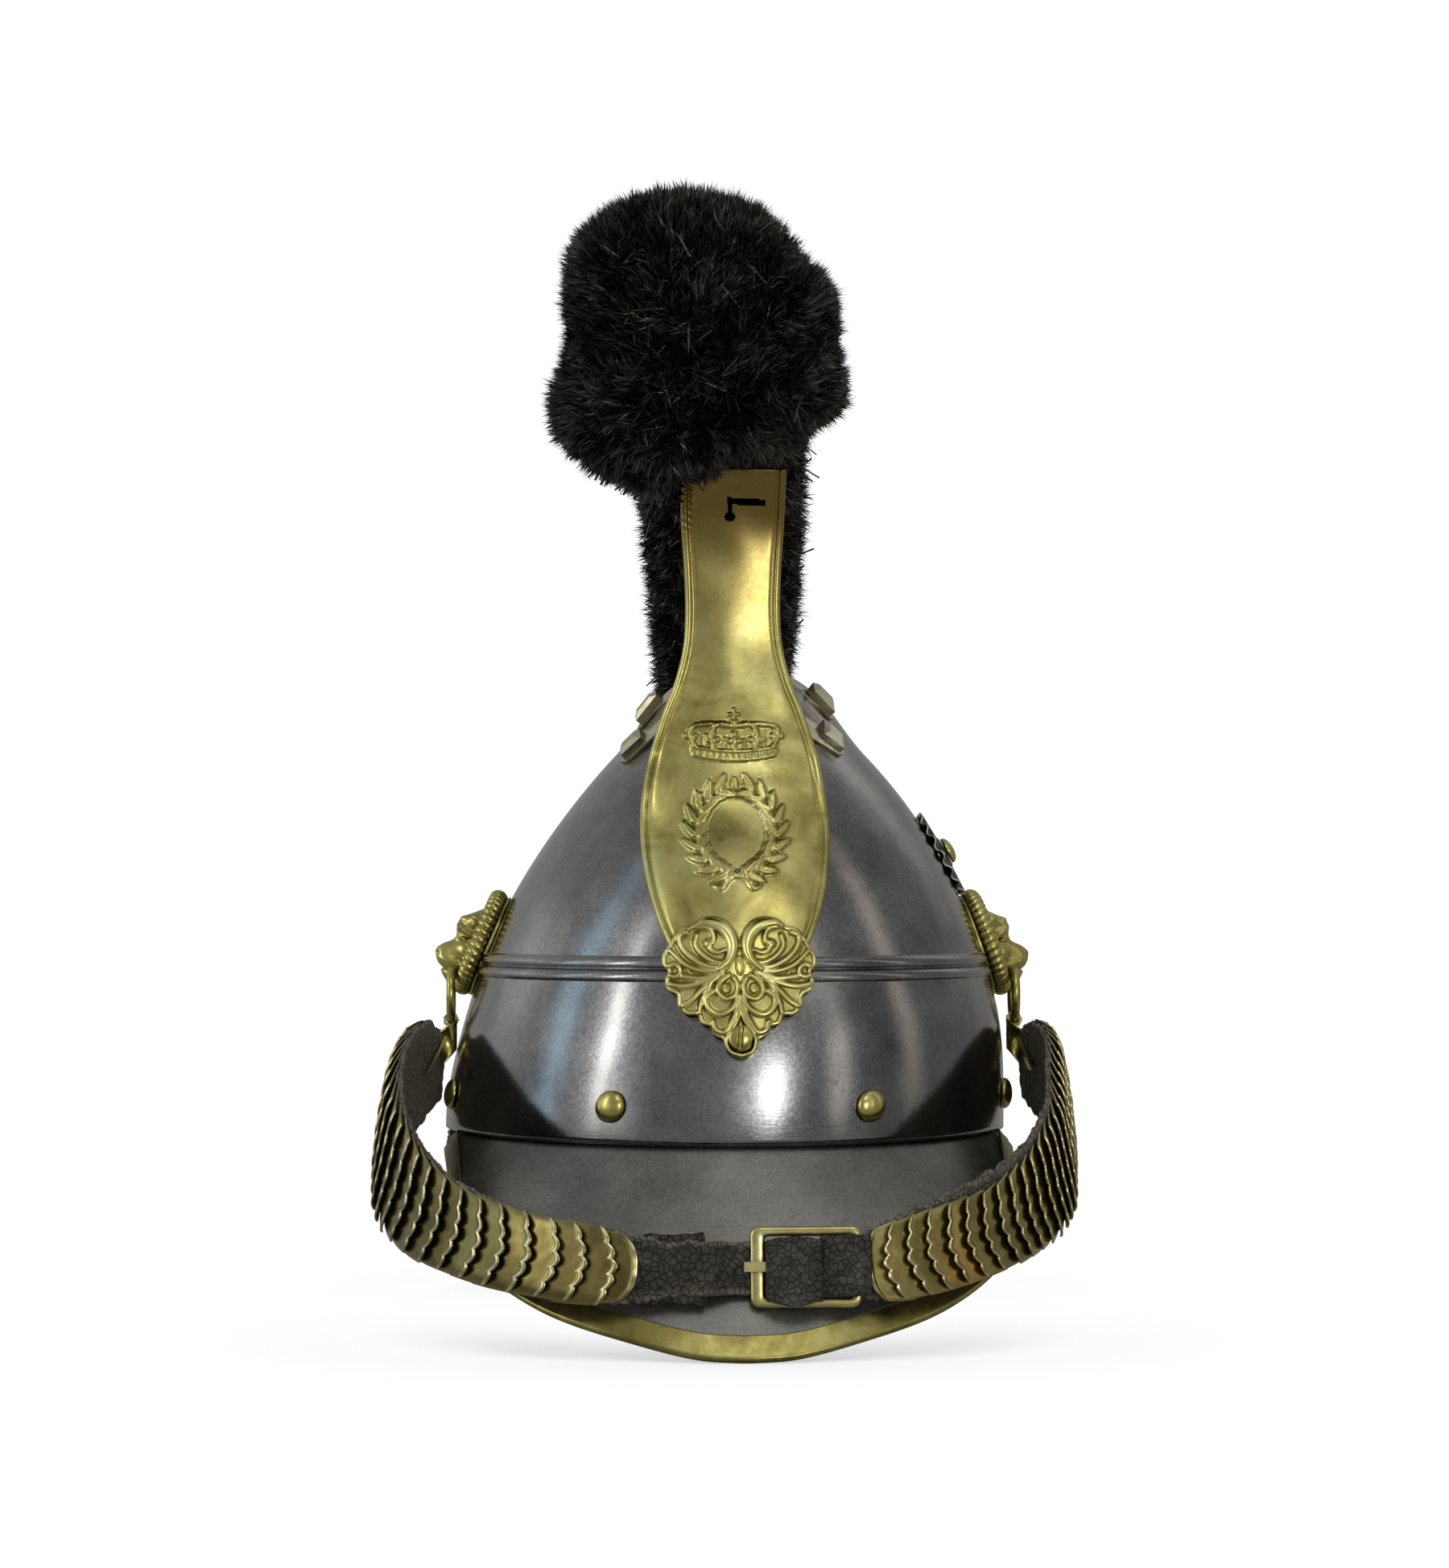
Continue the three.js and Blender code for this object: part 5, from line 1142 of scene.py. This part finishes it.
# The chin strap's route, the same on both sides of the frame
strapTilt = 0.14
strapRight = [
    (-98, -6, 85, 10, 12), (-104, -20, 83.5, 17.5, 18), (-110, -42, 75, 20, 20), (-112.5, -66, 65, 19.5, 19.5),
    (-110, -90, 54, 18, 18), (-101, -112, 44, 15.5, 15), (-86, -130, 37, 14, 13), (-68, -142, 32.5, 13, 12.5),
    (-48, -148.5, 29.5, 12, 12), (-33, -150.8, 28.5, 10.5, 10.5), (-24, -151.3, 28.4, 9, 9),
    (-8, -151.6, 28.6, 8.4, 8.4), (10, -151.6, 28.8, 8.2, 8.2), (26, -151.6, 29, 8.2, 8.2),
]
strapLeft = [
    (103, -6, 85, 10, 12), (107, -20, 83.5, 17.5, 18), (109.5, -42, 76, 20, 20), (107.5, -66, 66, 19.5, 19),
    (103.5, -90, 55, 19, 17.5), (94, -112, 46, 18, 15), (80, -130, 39, 17, 13), (63, -142, 34, 15.5, 12.5),
    (48, -148.5, 30.5, 13, 12), (38, -150.8, 29, 10.5, 10.5), (34, -151.4, 28.9, 8.6, 8.6),
    (27, -151.6, 29, 8.4, 8.4),
]


def strapFrames(rows, t):
    rows = np.array(rows, float)
    at = throughPoints(rows[:, :3], t)
    reach = throughPoints(np.column_stack([rows[:, 3:], np.zeros(len(rows))]), t)
    along = unit(throughPoints(rows[:, :3], t + 0.002) - throughPoints(rows[:, :3], t - 0.002))
    inward = unit(at * np.array([-1, -1, 0]))
    up = np.array([0, 0, 1]) + inward * strapTilt
    up = unit(up - along * np.sum(up * along, -1, keepdims=True))
    out = np.cross(along, up)
    out *= -np.sign(np.sum(out * inward, -1, keepdims=True))
    return at, along, up, out, reach[:, 0], reach[:, 1]


strapForm = {"thickness": 2.2, "steps": 300, "across": 18, "corner": 5}


def strapPiece(name, node, rows, seed):
    f = strapForm
    t = np.linspace(0, 1, f["steps"])
    at, along, up, out, above, below = strapFrames(rows, t)
    half = f["thickness"] / 2
    face = np.linspace(-1, 1, f["across"])
    bend = np.linspace(0, math.pi, f["corner"] + 2)[1:-1]
    # a section as pairs: share across the strap, and place through it
    section = [(c, 1.0, 0.0) for c in face] + [(1.0, math.cos(a), math.sin(a)) for a in bend]
    section += [(c, -1.0, 0.0) for c in face[::-1]] + [(-1.0, -math.cos(a), math.sin(a)) for a in bend]
    points, frayed = [], []
    flat = np.stack([t * 300, t * 0], -1)
    ragAbove = 0.5 * waves(flat, 9, seed) + 0.4 * waves(flat, 2.2, seed + 1)
    ragBelow = 0.5 * waves(flat, 8, seed + 2) + 0.4 * waves(flat, 2.0, seed + 3)
    ragged = smooth(0.93, 0.75, t)
    for c, through, bulge in section:
        reach = np.where(c > 0, above + ragAbove * ragged, below + ragBelow * ragged) - half * 0.8
        side = reach * c + np.sign(c) * bulge * half * 0.8
        flat = np.stack([t * 300, np.full_like(t, c * 15)], -1)
        crease = 0.16 * waves(flat, 5, seed + 4) + 0.1 * waves(flat, 2.2, seed + 5)
        lift = through * half + crease * (1.0 if abs(through) == 1 else 0.5) * smooth(0.99, 0.93, t)
        underBar = smooth(-11, -3, at[:, 0]) * smooth(15, 8, at[:, 0]) * (at[:, 1] < -145)
        lift = lift - 2.7 * underBar
        points.append(at + up * side[:, None] + out * lift[:, None])
        frayed.append(np.clip(0.55 * (abs(c) ** 10) + 0.95 * (through < 0) * smooth(0.8, 0.6, t), 0, 1))
    grid = np.array(points).transpose(1, 0, 2)
    n = grid.shape[1]
    faces = gridFaces(len(t), n, closeColumns=True)
    caps = []
    for row, flip in ((0, False), (len(t) - 1, True)):
        index = np.arange(n) + row * n
        ring = [index[0:n // 2], index[n // 2:][::-1]]
        count = min(len(ring[0]), len(ring[1]))
        quads = np.stack([ring[0][:count - 1], ring[0][1:count], ring[1][1:count], ring[1][:count - 1]], -1)
        caps.append(quads if flip else quads[:, ::-1])
    mesh = makeMesh(name, grid, [faces] + caps)
    addValues(mesh, "fray", np.array(frayed).T)
    return addPiece(name, mesh, leather, [node])


strapPiece("strapLeatherRight", "strap_right", strapRight, 11)
strapPiece("strapLeatherLeft", "strap_left", strapLeft, 23)

# The buckle: rounded bars, the left one wide
buckleForm = {"place": (18.4, -151.6, 28.9), "turn": -4.6, "length": 34.5, "height": 25, "thickness": 2.2,
              "left": 4.6, "bar": 3.0, "corner": 3.0, "inner": 1.0, "sides": 20, "perCorner": 9}


def onBuckle(points):  # x along the strap, y away from the leather, z up
    turn = Matrix.Rotation(-strapTilt, 3, "X") @ Matrix.Rotation(math.radians(buckleForm["turn"]), 3, "Z")
    return points @ np.array(turn).T + np.array(buckleForm["place"])


def roundedLoop(left, right, low, high, radius, count):
    a = np.linspace(0, math.pi / 2, count)
    loop = []
    for x, z, start in ((right - radius, low + radius, -1), (right - radius, high - radius, 0),
                        (left + radius, high - radius, 1), (left + radius, low + radius, 2)):
        turn = a + start * math.pi / 2
        loop.append(np.stack([x + radius * np.cos(turn), z + radius * np.sin(turn)], -1))
    return np.concatenate(loop)


def bucklePiece():
    f = buckleForm
    x, z = f["length"] / 2, f["height"] / 2
    outer = roundedLoop(-x, x, -z, z, f["corner"], f["perCorner"])
    inner = roundedLoop(-x + f["left"], x - f["bar"], -z + f["bar"], z - f["bar"], f["inner"], f["perCorner"])
    a = np.linspace(0, 2 * math.pi, f["sides"], endpoint=False)
    middle, half = (outer + inner) / 2, (outer - inner) / 2
    flat = middle[:, None] + half[:, None] * power(np.cos(a), 0.75)[None, :, None]
    deep = np.broadcast_to(f["thickness"] / 2 * power(np.sin(a), 0.8), flat.shape[:2])
    grid = onBuckle(np.stack([flat[..., 0], deep, flat[..., 1]], -1))
    mesh = tubeMesh("buckleBars", grid, closeRows=True)
    addPiece("buckleBars", mesh, buckleBrass, ["buckle_frame"])


bucklePiece()

# Doubled leather in and beside the buckle
foldForms = {
    "strapKeeper": {
        "left": -12.4, "right": 5.6, "top": 8.8, "bottom": -11.4, "front": -4.6, "back": 1.4, "sag": 0.7,
    },
    "strapWrap": {
        "left": 4.2, "right": 20.5, "top": 9.6, "bottom": -9.0, "front": -3.2, "back": 1.4, "sag": 0.3,
    },
    "strapLoop": {
        "left": -50.6, "right": -31.0, "top": 10.4, "bottom": -11.2, "front": -2.6, "back": 2.6, "sag": -0.4,
    },
}


def foldPiece(name, f):
    a = np.linspace(0, 2 * math.pi, 72, endpoint=False)
    middle, half = (f["left"] + f["right"]) / 2, (f["right"] - f["left"]) / 2
    deep, away = (f["back"] - f["front"]) / 2, (f["back"] + f["front"]) / 2
    rows = []
    for share in np.linspace(0, 1, 40):
        z = f["bottom"] + (f["top"] - f["bottom"]) * share
        swell = 1 - 0.05 * (2 * share - 1) ** 8
        x = middle + half * power(np.cos(a), 0.4) * swell
        y = away + deep * power(np.sin(a), 0.45) * swell
        flat = np.stack([x, np.full_like(x, z)], -1)
        bulge = 0.14 * waves(flat, 5, 8) + 0.1 * waves(flat, 1.9, 9) + 0.4 * np.cos((x - middle) / half * 1.4)
        y = y - bulge * (y < away)
        sag = f["sag"] * np.cos((x - middle) / half * math.pi) + 0.3 * np.sin(x * 1.3) + 0.15 * np.sin(x * 3.1)
        rows.append(np.stack([x, y, z - sag * (1 - 1.6 * share)], -1))
    grid = onBuckle(np.array(rows))
    n = grid.shape[1]
    near, far = np.arange(n // 2 - 1), n - 1 - np.arange(n // 2 - 1)
    caps = [np.stack([near, near + 1, far - 1, far], -1) + row * n for row in (0, len(grid) - 1)]
    mesh = makeMesh(name, grid, [gridFaces(*grid.shape[:2], closeColumns=True), caps[0], caps[1][:, ::-1]])
    addValues(mesh, "fray", np.zeros(len(mesh.vertices)))
    addPiece(name, mesh, leather)


for name, form in foldForms.items():
    foldPiece(name, form)
print("strap")

# The chin scales: thin plates with scalloped free edges, each over the next towards the buckle
scaleForm = {"across": 41, "along": 14, "thick": 0.7, "lobes": 5, "scallop": 1.5, "crown": 1.3,
             "sweep": 5.0, "overlap": 2.1, "lastReach": 1.95, "lift": 2.7, "base": 0.6}


def scalesPiece(name, node, rows, fromT, toT, count, seed, material):
    f = scaleForm
    rng = np.random.default_rng(seed)
    fine = np.linspace(0, 1, 3000)
    line = throughPoints(np.array(rows, float)[:, :3], fine)
    length = np.concatenate([[0], np.cumsum(np.linalg.norm(np.diff(line, axis=0), axis=1))])
    start, end = np.interp(fromT, fine, length), np.interp(toT, fine, length)
    pitch = (end - start) / (count - 1 + f["lastReach"])
    across = np.linspace(-1, 1, f["across"])
    points, faces, edges, base = [], [], [], 0
    for i in range(count):
        last = i == count - 1
        s0 = start + i * pitch + rng.uniform(-0.25, 0.25)
        reachAlong = pitch * (f["lastReach"] if last else f["overlap"])
        tilt = rng.uniform(-0.02, 0.02)
        t = np.concatenate([np.linspace(0, 0.82, f["along"] - 8), np.linspace(0.88, 1, 8)])[:, None]
        lobe = np.abs(np.cos(across * math.pi * f["lobes"] / 2)) ** 0.8
        if last:
            tip = reachAlong * (0.45 + 0.55 * np.sqrt(np.clip(1 - np.abs(across * 0.98) ** 2.6, 0, 1)))
        else:
            swept = f["sweep"] * np.abs(across) ** 1.7
            scallop = f["scallop"] * (1 - lobe) * (1 - 0.6 * across**2)
            tip = reachAlong + 1.4 - swept - scallop + across * tilt * 20
        s = s0 + t * tip[None, :]
        s = np.minimum(s, length[-1])
        at, along, up, out, above, below = strapFrames(rows, np.interp(s.ravel(), length, fine))
        shape = s.shape
        reach = np.minimum(above, below).reshape(shape) + 0.5 + 0.35 * rng.uniform(-1, 1)
        side = across[None, :] * reach * (1 - 0.03 * t)
        stand = (f["lift"] if not last else 0.9) * t**1.2 + (0 if last else 0.25 * rng.uniform(0, 1) * t**2)
        crown = f["crown"] * (1 - across[None, :] ** 2) * (0.35 + 0.65 * t) - 0.9 * np.abs(across[None, :]) ** 8
        ridge = 0.35 * (1 - lobe[None, :]) * smooth(0.4, 1.0, t) * (not last)
        roll = 0.32 * np.exp(-(((t - 0.955) / 0.035) ** 2))
        if last:  # a raised border all round
            roll = 0.45 * np.exp(-(((t - 0.93) / 0.035) ** 2)) * (t > 0.5)
            sides = 0.45 * np.exp(-(((np.abs(across[None, :]) - 0.93) / 0.035) ** 2))
            roll = np.maximum(roll, sides * (t < 0.95))
        top = f["base"] + strapForm["thickness"] / 2 + stand + crown - ridge + roll
        at, up, out = [v.reshape(*shape, 3) for v in (at, up, out)]
        outer = at + up * side[..., None] + out * top[..., None]
        inner = at + up * side[..., None] + out * (top - f["thick"])[..., None]
        part, partFaces = shellPoints(outer, inner)
        # the edge attribute: rubbed edges along the free rim and sides, with painted glints along the lobes
        glint = 0.25 + 0.75 * np.sin(across[None, :] * math.pi * f["lobes"] / 2 + rng.uniform(-0.5, 0.5)) ** 2
        rubAndGlint = np.clip(smooth(0.9, 0.95, t) * glint + 0.3 * np.abs(across[None, :]) ** 16, 0, 1)
        points.append(part)
        faces += [face + base for face in partFaces]
        edges += [rubAndGlint.ravel(), rubAndGlint.ravel() * 0.6]
        base += len(part)
    mesh = makeMesh(name, np.concatenate(points), faces)
    addValues(mesh, "edge", np.concatenate(edges) * 0.8)
    addPiece(name, mesh, material, [node])


scalesPiece("chinScalesRight", "scales_right", strapRight, 0.05, 0.69, 21, 31, scaleBrass)
scalesPiece("chinScalesLeft", "scales_left", strapLeft, 0.05, 0.84, 25, 47, paleScaleBrass)
print("scales")

# The crest: a dark core and short dense strands in three pieces
crestForm = {
    "strands": 34000, "pieces": 3, "core": 5.5, "root": 7, "length": 10.4, "width": 0.62,
    "turns": 96, "rings": 90, "middle": (-8, -90, 306),
}
crestRows = [
    (-13, -120.5, 318, 2, 2.5), (-13, -116, 318, 20, 22), (-13, -107, 318, 35, 37.5), (-13, -95, 320, 44, 46.5),
    (-12.5, -78, 324.5, 48.5, 50.5), (-11, -58, 328, 48, 49), (-8, -34, 322, 38, 38), (-4, -8, 303, 31, 31),
    (0, 20, 283, 28.5, 29), (2, 46, 261, 27, 28), (3, 72, 234, 25, 27), (3, 95, 203, 23, 25), (2, 110, 176, 20, 22), (1, 120, 152, 14, 14),
    (1, 125, 141, 2, 2),
]
crestLobes = [
    {"turn": -90, "out": 0}, {"turn": -60, "out": 0}, {"turn": -40, "out": -5}, {"turn": -22, "out": 2.5},
    {"turn": -9, "out": -1}, {"turn": 0, "out": -3.5}, {"turn": 20, "out": -2}, {"turn": 41, "out": -5},
    {"turn": 60, "out": -3}, {"turn": 90, "out": -1}, {"turn": 121, "out": 2}, {"turn": 142, "out": 2},
    {"turn": 163, "out": -4}, {"turn": 180, "out": -6.5}, {"turn": 190, "out": -3.5}, {"turn": 199, "out": 1.5},
    {"turn": 212, "out": 5}, {"turn": 230, "out": 2.5}, {"turn": 246, "out": 1}, {"turn": 270, "out": 0},
]
fringe = [  # how low the fur hangs over the plate's top
    {"x": -46, "z": 262}, {"x": -32, "z": 271}, {"x": -26, "z": 277}, {"x": -19, "z": 283},
    {"x": -10, "z": 283}, {"x": -7.6, "z": 285}, {"x": -5, "z": 287.5}, {"x": -2, "z": 289},
    {"x": 17, "z": 289.5}, {"x": 24, "z": 280}, {"x": 34, "z": 258},
]


def crestPoint(t, a, offset=0.0):
    rows = np.array(crestRows, float)
    shape = np.broadcast(t, a).shape
    t, a = np.broadcast_to(t, shape).ravel(), np.broadcast_to(a, shape).ravel()
    middle = throughPoints(rows[:, :3], t)
    size = throughPoints(np.column_stack([rows[:, 3:], np.zeros(len(rows))]), t)
    along = unit(throughPoints(rows[:, :3], t + 0.003) - throughPoints(rows[:, :3], t - 0.003))
    up = unit(np.cross([1.0, 0, 0], along))
    turn = (np.degrees(a) + 90) % 360 - 90
    lobe = tableValue(crestLobes, "turn", turn, "out") * smooth(0.557, 0.35, t) * smooth(0.0, 0.12, t)
    out = lobe + np.broadcast_to(offset, shape).ravel()
    wide = np.maximum(size[:, 0] + out, 0.5)
    tall = np.maximum(size[:, 1] + out, 0.5)
    point = middle + np.stack([wide * np.cos(a), 0 * a, 0 * a], -1) + up * (tall * np.sin(a))[:, None]
    low = tableValue(fringe, "x", point[:, 0], "z")
    raised = np.where(point[:, 2] < low, low + 0.15 * (point[:, 2] - low), point[:, 2])
    point[:, 2] += (raised - point[:, 2]) * smooth(-48, -60, point[:, 1])
    return point.reshape(*shape, 3)


def crestPieces():
    f = crestForm
    t = np.linspace(0, 1, f["rings"])[:, None]
    a = np.linspace(0, 2 * math.pi, f["turns"], endpoint=False)[None, :]
    core = crestPoint(t, a, -f["core"])
    core = core + 1.2 * waves(core, 9, 5)[..., None] * unit(core - core.mean(axis=1, keepdims=True))
    core[:, :, 1] += 6 * smooth(0.3, 0.08, t)
    mesh = tubeMesh("crestCore", core)
    addValues(mesh, "tip", np.zeros(core.shape[0] * core.shape[1]))
    addValues(mesh, "toneAndGlint", np.zeros(core.shape[0] * core.shape[1]))
    addPiece("crestCore", mesh, furSkin, ["crest"])
    rng = np.random.default_rng(7)
    for k in range(f["pieces"]):
        tt, aa = rng.uniform(0, 1, f["strands"] * 7), rng.uniform(0, 2 * math.pi, f["strands"] * 7)
        e = 0.003
        alongT = crestPoint(np.minimum(tt + e, 1), aa) - crestPoint(np.maximum(tt - e, 0), aa)
        aroundA = crestPoint(tt, aa + e) - crestPoint(tt, aa - e)
        normal = np.cross(aroundA, alongT)
        area = np.linalg.norm(normal, axis=1) * np.where(tt < 0.5, 1.6, 0.8)
        pick = rng.uniform(0, 1, len(tt)) < area / np.quantile(area, 0.97)
        count = min(f["strands"], int(pick.sum()))
        tt, aa, normal = tt[pick][:count], aa[pick][:count], unit(normal[pick][:count])
        surface = crestPoint(tt, aa)
        middle = throughPoints(np.array(crestRows, float)[:, :3], tt)
        if np.mean(np.sum(normal * (surface - middle), -1)) < 0:
            normal = -normal
        comb = (surface - np.array(f["middle"])) * np.array([1.0, 0.0, 1.0])
        comb = comb / 34 * smooth(-40, -90, surface[:, 1])[:, None]
        clump = np.stack([waves(surface, 13, seed) for seed in (1, 2, 3)], -1) * 0.32
        clump += np.stack([waves(surface, 3.4, seed) for seed in (4, 5, 6)], -1) * 0.36
        lean = unit(normal + comb * 0.45 + clump + rng.normal(0, 0.26, surface.shape))
        length = f["length"] * rng.uniform(0.7, 1.05, len(tt)) + 0.8 * waves(surface, 6, 9)
        side = unit(np.cross(lean, rng.normal(size=lean.shape)))
        curl = unit(clump + rng.normal(0, 0.2, surface.shape)) * (length * 0.12)[:, None]
        root = surface - lean * f["root"]
        strand = []
        for share, width in ((0.0, 1.0), (0.64, 0.9)):
            at = root + lean * (length * share)[:, None] + curl * share**2
            strand += [at - side * f["width"] * width / 2, at + side * f["width"] * width / 2]
        strand.append(root + lean * length[:, None] + curl)
        points = np.stack(strand, 1)
        base = np.arange(count)[:, None] * 5
        mesh = makeMesh(f"crestStrands{k + 1}", points, [base + [0, 1, 3, 2], base + [2, 3, 4]])
        addValues(mesh, "tip", np.tile([0, 0, 0.22, 0.22, 1.0], count))
        # how light each strand's tip is: random tone and painted glints
        toneAndGlint = rng.uniform(0.0, 1.0, count) ** 1.6 * (0.7 + 0.4 * waves(surface, 24, 17))
        addValues(mesh, "toneAndGlint", np.repeat(np.clip(toneAndGlint, 0, 1), 5))
        addPiece(f"crestStrands{k + 1}", mesh, fur, ["crest"])


crestPieces()
print("crest")

# Floor, camera, lights and world
viewForm = {"x": -0.063, "y": -1.389, "z": 0.147, "turn": 2.6, "pitch": 1.455, "lens": 91.66}


def floorPiece():
    a = np.linspace(0, 2 * math.pi, 96, endpoint=False)
    rise = np.full(len(a), -0.05)  # a hair under the frame's floor
    radii = [0.0, 100, 250, 500, 1000, 2500, 6000]
    mesh = tubeMesh("floorDisc", np.array([np.stack([r * np.cos(a), r * np.sin(a), rise], -1) for r in radii]))
    floor = bpy.data.objects.new("floorDisc", mesh)
    bpy.context.collection.objects.link(floor)
    s = Shader("floorWhitePaintedShadow")
    # the camera sees a glowing white floor with a painted contact shadow: the crevice node darkens it near the
    # helmet
    glow = s.add("ShaderNodeEmission")
    s.link(s.ramp(s.crevice(70), (0.0, 0.42), (0.55, 0.86), (0.95, 1.0)), glow, "Color")
    setValue(s.surface, "Base Color", (0.52, 0.51, 0.47, 1))
    setValue(s.surface, "Roughness", 0.9)
    seen = s.mixShader(s.surface.outputs[0], glow.outputs[0])
    s.link(seen, s.tree.nodes["Material Output"], "Surface")
    mesh.materials.append(s.material)


floorPiece()


# azimuth from the front, positive towards +X; half width and half height in degrees
roomForm = {"base": 0.23, "leftward": 0.2, "colour": (1.0, 0.985, 0.94)}
roomPatches = [
    {"azimuth": -68, "elevation": 24, "wide": 3.4, "tall": 17, "level": 5.4, "colour": (1.0, 0.98, 0.9)},
    {"azimuth": -70, "elevation": 22, "wide": 12, "tall": 18, "level": 0.8, "colour": (1.0, 0.98, 0.92)},
    {"azimuth": -56, "elevation": 7, "wide": 9, "tall": 12, "level": 0.7, "colour": (1.0, 0.98, 0.92)},
    {"azimuth": -94, "elevation": 12, "wide": 6, "tall": 38, "level": 1.3, "colour": (0.55, 0.85, 1.0)},
    {"azimuth": -128, "elevation": 17, "wide": 16, "tall": 11, "level": 0.4, "colour": (1.0, 1.0, 1.0)},
    {"azimuth": 17, "elevation": 9, "wide": 6, "tall": 6.5, "level": 9, "colour": (1.0, 0.98, 0.92)},
    {"azimuth": 14, "elevation": 12, "wide": 13, "tall": 9, "level": 1.5, "colour": (1.0, 0.98, 0.92)},
    {"azimuth": 7, "elevation": 50, "wide": 15, "tall": 8.5, "level": 3.4, "colour": (1.0, 0.97, 0.88)},
    {"azimuth": 50, "elevation": 10, "wide": 5, "tall": 20, "level": 1.2, "colour": (1.0, 0.94, 0.82)},
    {"azimuth": 88, "elevation": 30, "wide": 5, "tall": 30, "level": 0.9, "colour": (1.0, 0.9, 0.72)},
    {"azimuth": 140, "elevation": 34, "wide": 9, "tall": 14, "level": 0.5, "colour": (1.0, 0.95, 0.85)},
    {"azimuth": 55, "elevation": 70, "wide": 60, "tall": 12, "level": 0.45, "colour": (1.0, 0.98, 0.92)},
    {"azimuth": 40, "elevation": 40, "wide": 9, "tall": 9, "level": 0.8, "colour": (1.0, 0.96, 0.86)},
]


def patchLevel(room, azimuth, elevation, row):
    aside = room.math("SUBTRACT", azimuth, math.radians(row["azimuth"]))
    above = room.math("SUBTRACT", elevation, math.radians(row["elevation"]))
    u = room.math("DIVIDE", aside, math.radians(row["wide"]))
    v = room.math("DIVIDE", above, math.radians(row["tall"]))
    away = room.math("ADD", room.math("MULTIPLY", u, u), room.math("MULTIPLY", v, v))
    return room.math("MULTIPLY", room.math("EXPONENT", room.math("MULTIPLY", away, -1.0)), row["level"])


def makeWorld():
    world = bpy.data.worlds.new("studio")
    bpy.context.scene.world = world
    world.use_nodes = True
    room = Nodes(world.node_tree)
    room.tree.nodes.clear()
    split = room.add("ShaderNodeSeparateXYZ")
    room.link(room.add("ShaderNodeTexCoord").outputs["Generated"], split, 0)
    x, y, z = split.outputs
    azimuth = room.math("ARCTAN2", x, room.math("MULTIPLY", y, -1.0))
    elevation = room.math("ARCSINE", z)
    base = room.math("MULTIPLY", room.math("SUBTRACT", 1.0, x), roomForm["leftward"] / 2)
    base = room.math("ADD", base, roomForm["base"])
    total = room.add("ShaderNodeCombineColor")
    for index, share in enumerate(roomForm["colour"]):
        room.link(room.math("MULTIPLY", base, share), total, index)
    colour = total.outputs[0]
    for row in roomPatches:
        scaled = room.add("ShaderNodeVectorMath", operation="SCALE")
        scaled.inputs[0].default_value = row["colour"]
        room.link(patchLevel(room, azimuth, elevation, row), scaled, "Scale")
        colour = room.mix(1.0, colour, scaled.outputs[0], "ADD")
    lit, seen = room.add("ShaderNodeBackground"), room.add("ShaderNodeBackground")
    room.link(colour, lit, "Color")
    seen.inputs["Color"].default_value = (1, 1, 1, 1)
    blend = room.mixShader(lit.outputs[0], seen.outputs[0])
    room.link(blend, room.add("ShaderNodeOutputWorld"), "Surface")


makeWorld()
camera = bpy.data.objects.new("camera", bpy.data.cameras.new("camera"))
bpy.context.collection.objects.link(camera)
camera.data.lens = viewForm["lens"]
camera.data.dof.use_dof = False
camera.location = (viewForm["x"], viewForm["y"], viewForm["z"])
camera.rotation_euler = (math.radians(90 + viewForm["pitch"]), 0, -math.radians(viewForm["turn"]))
bpy.context.scene.camera = camera
bpy.context.scene.view_settings.view_transform = "Standard"
print("stage")
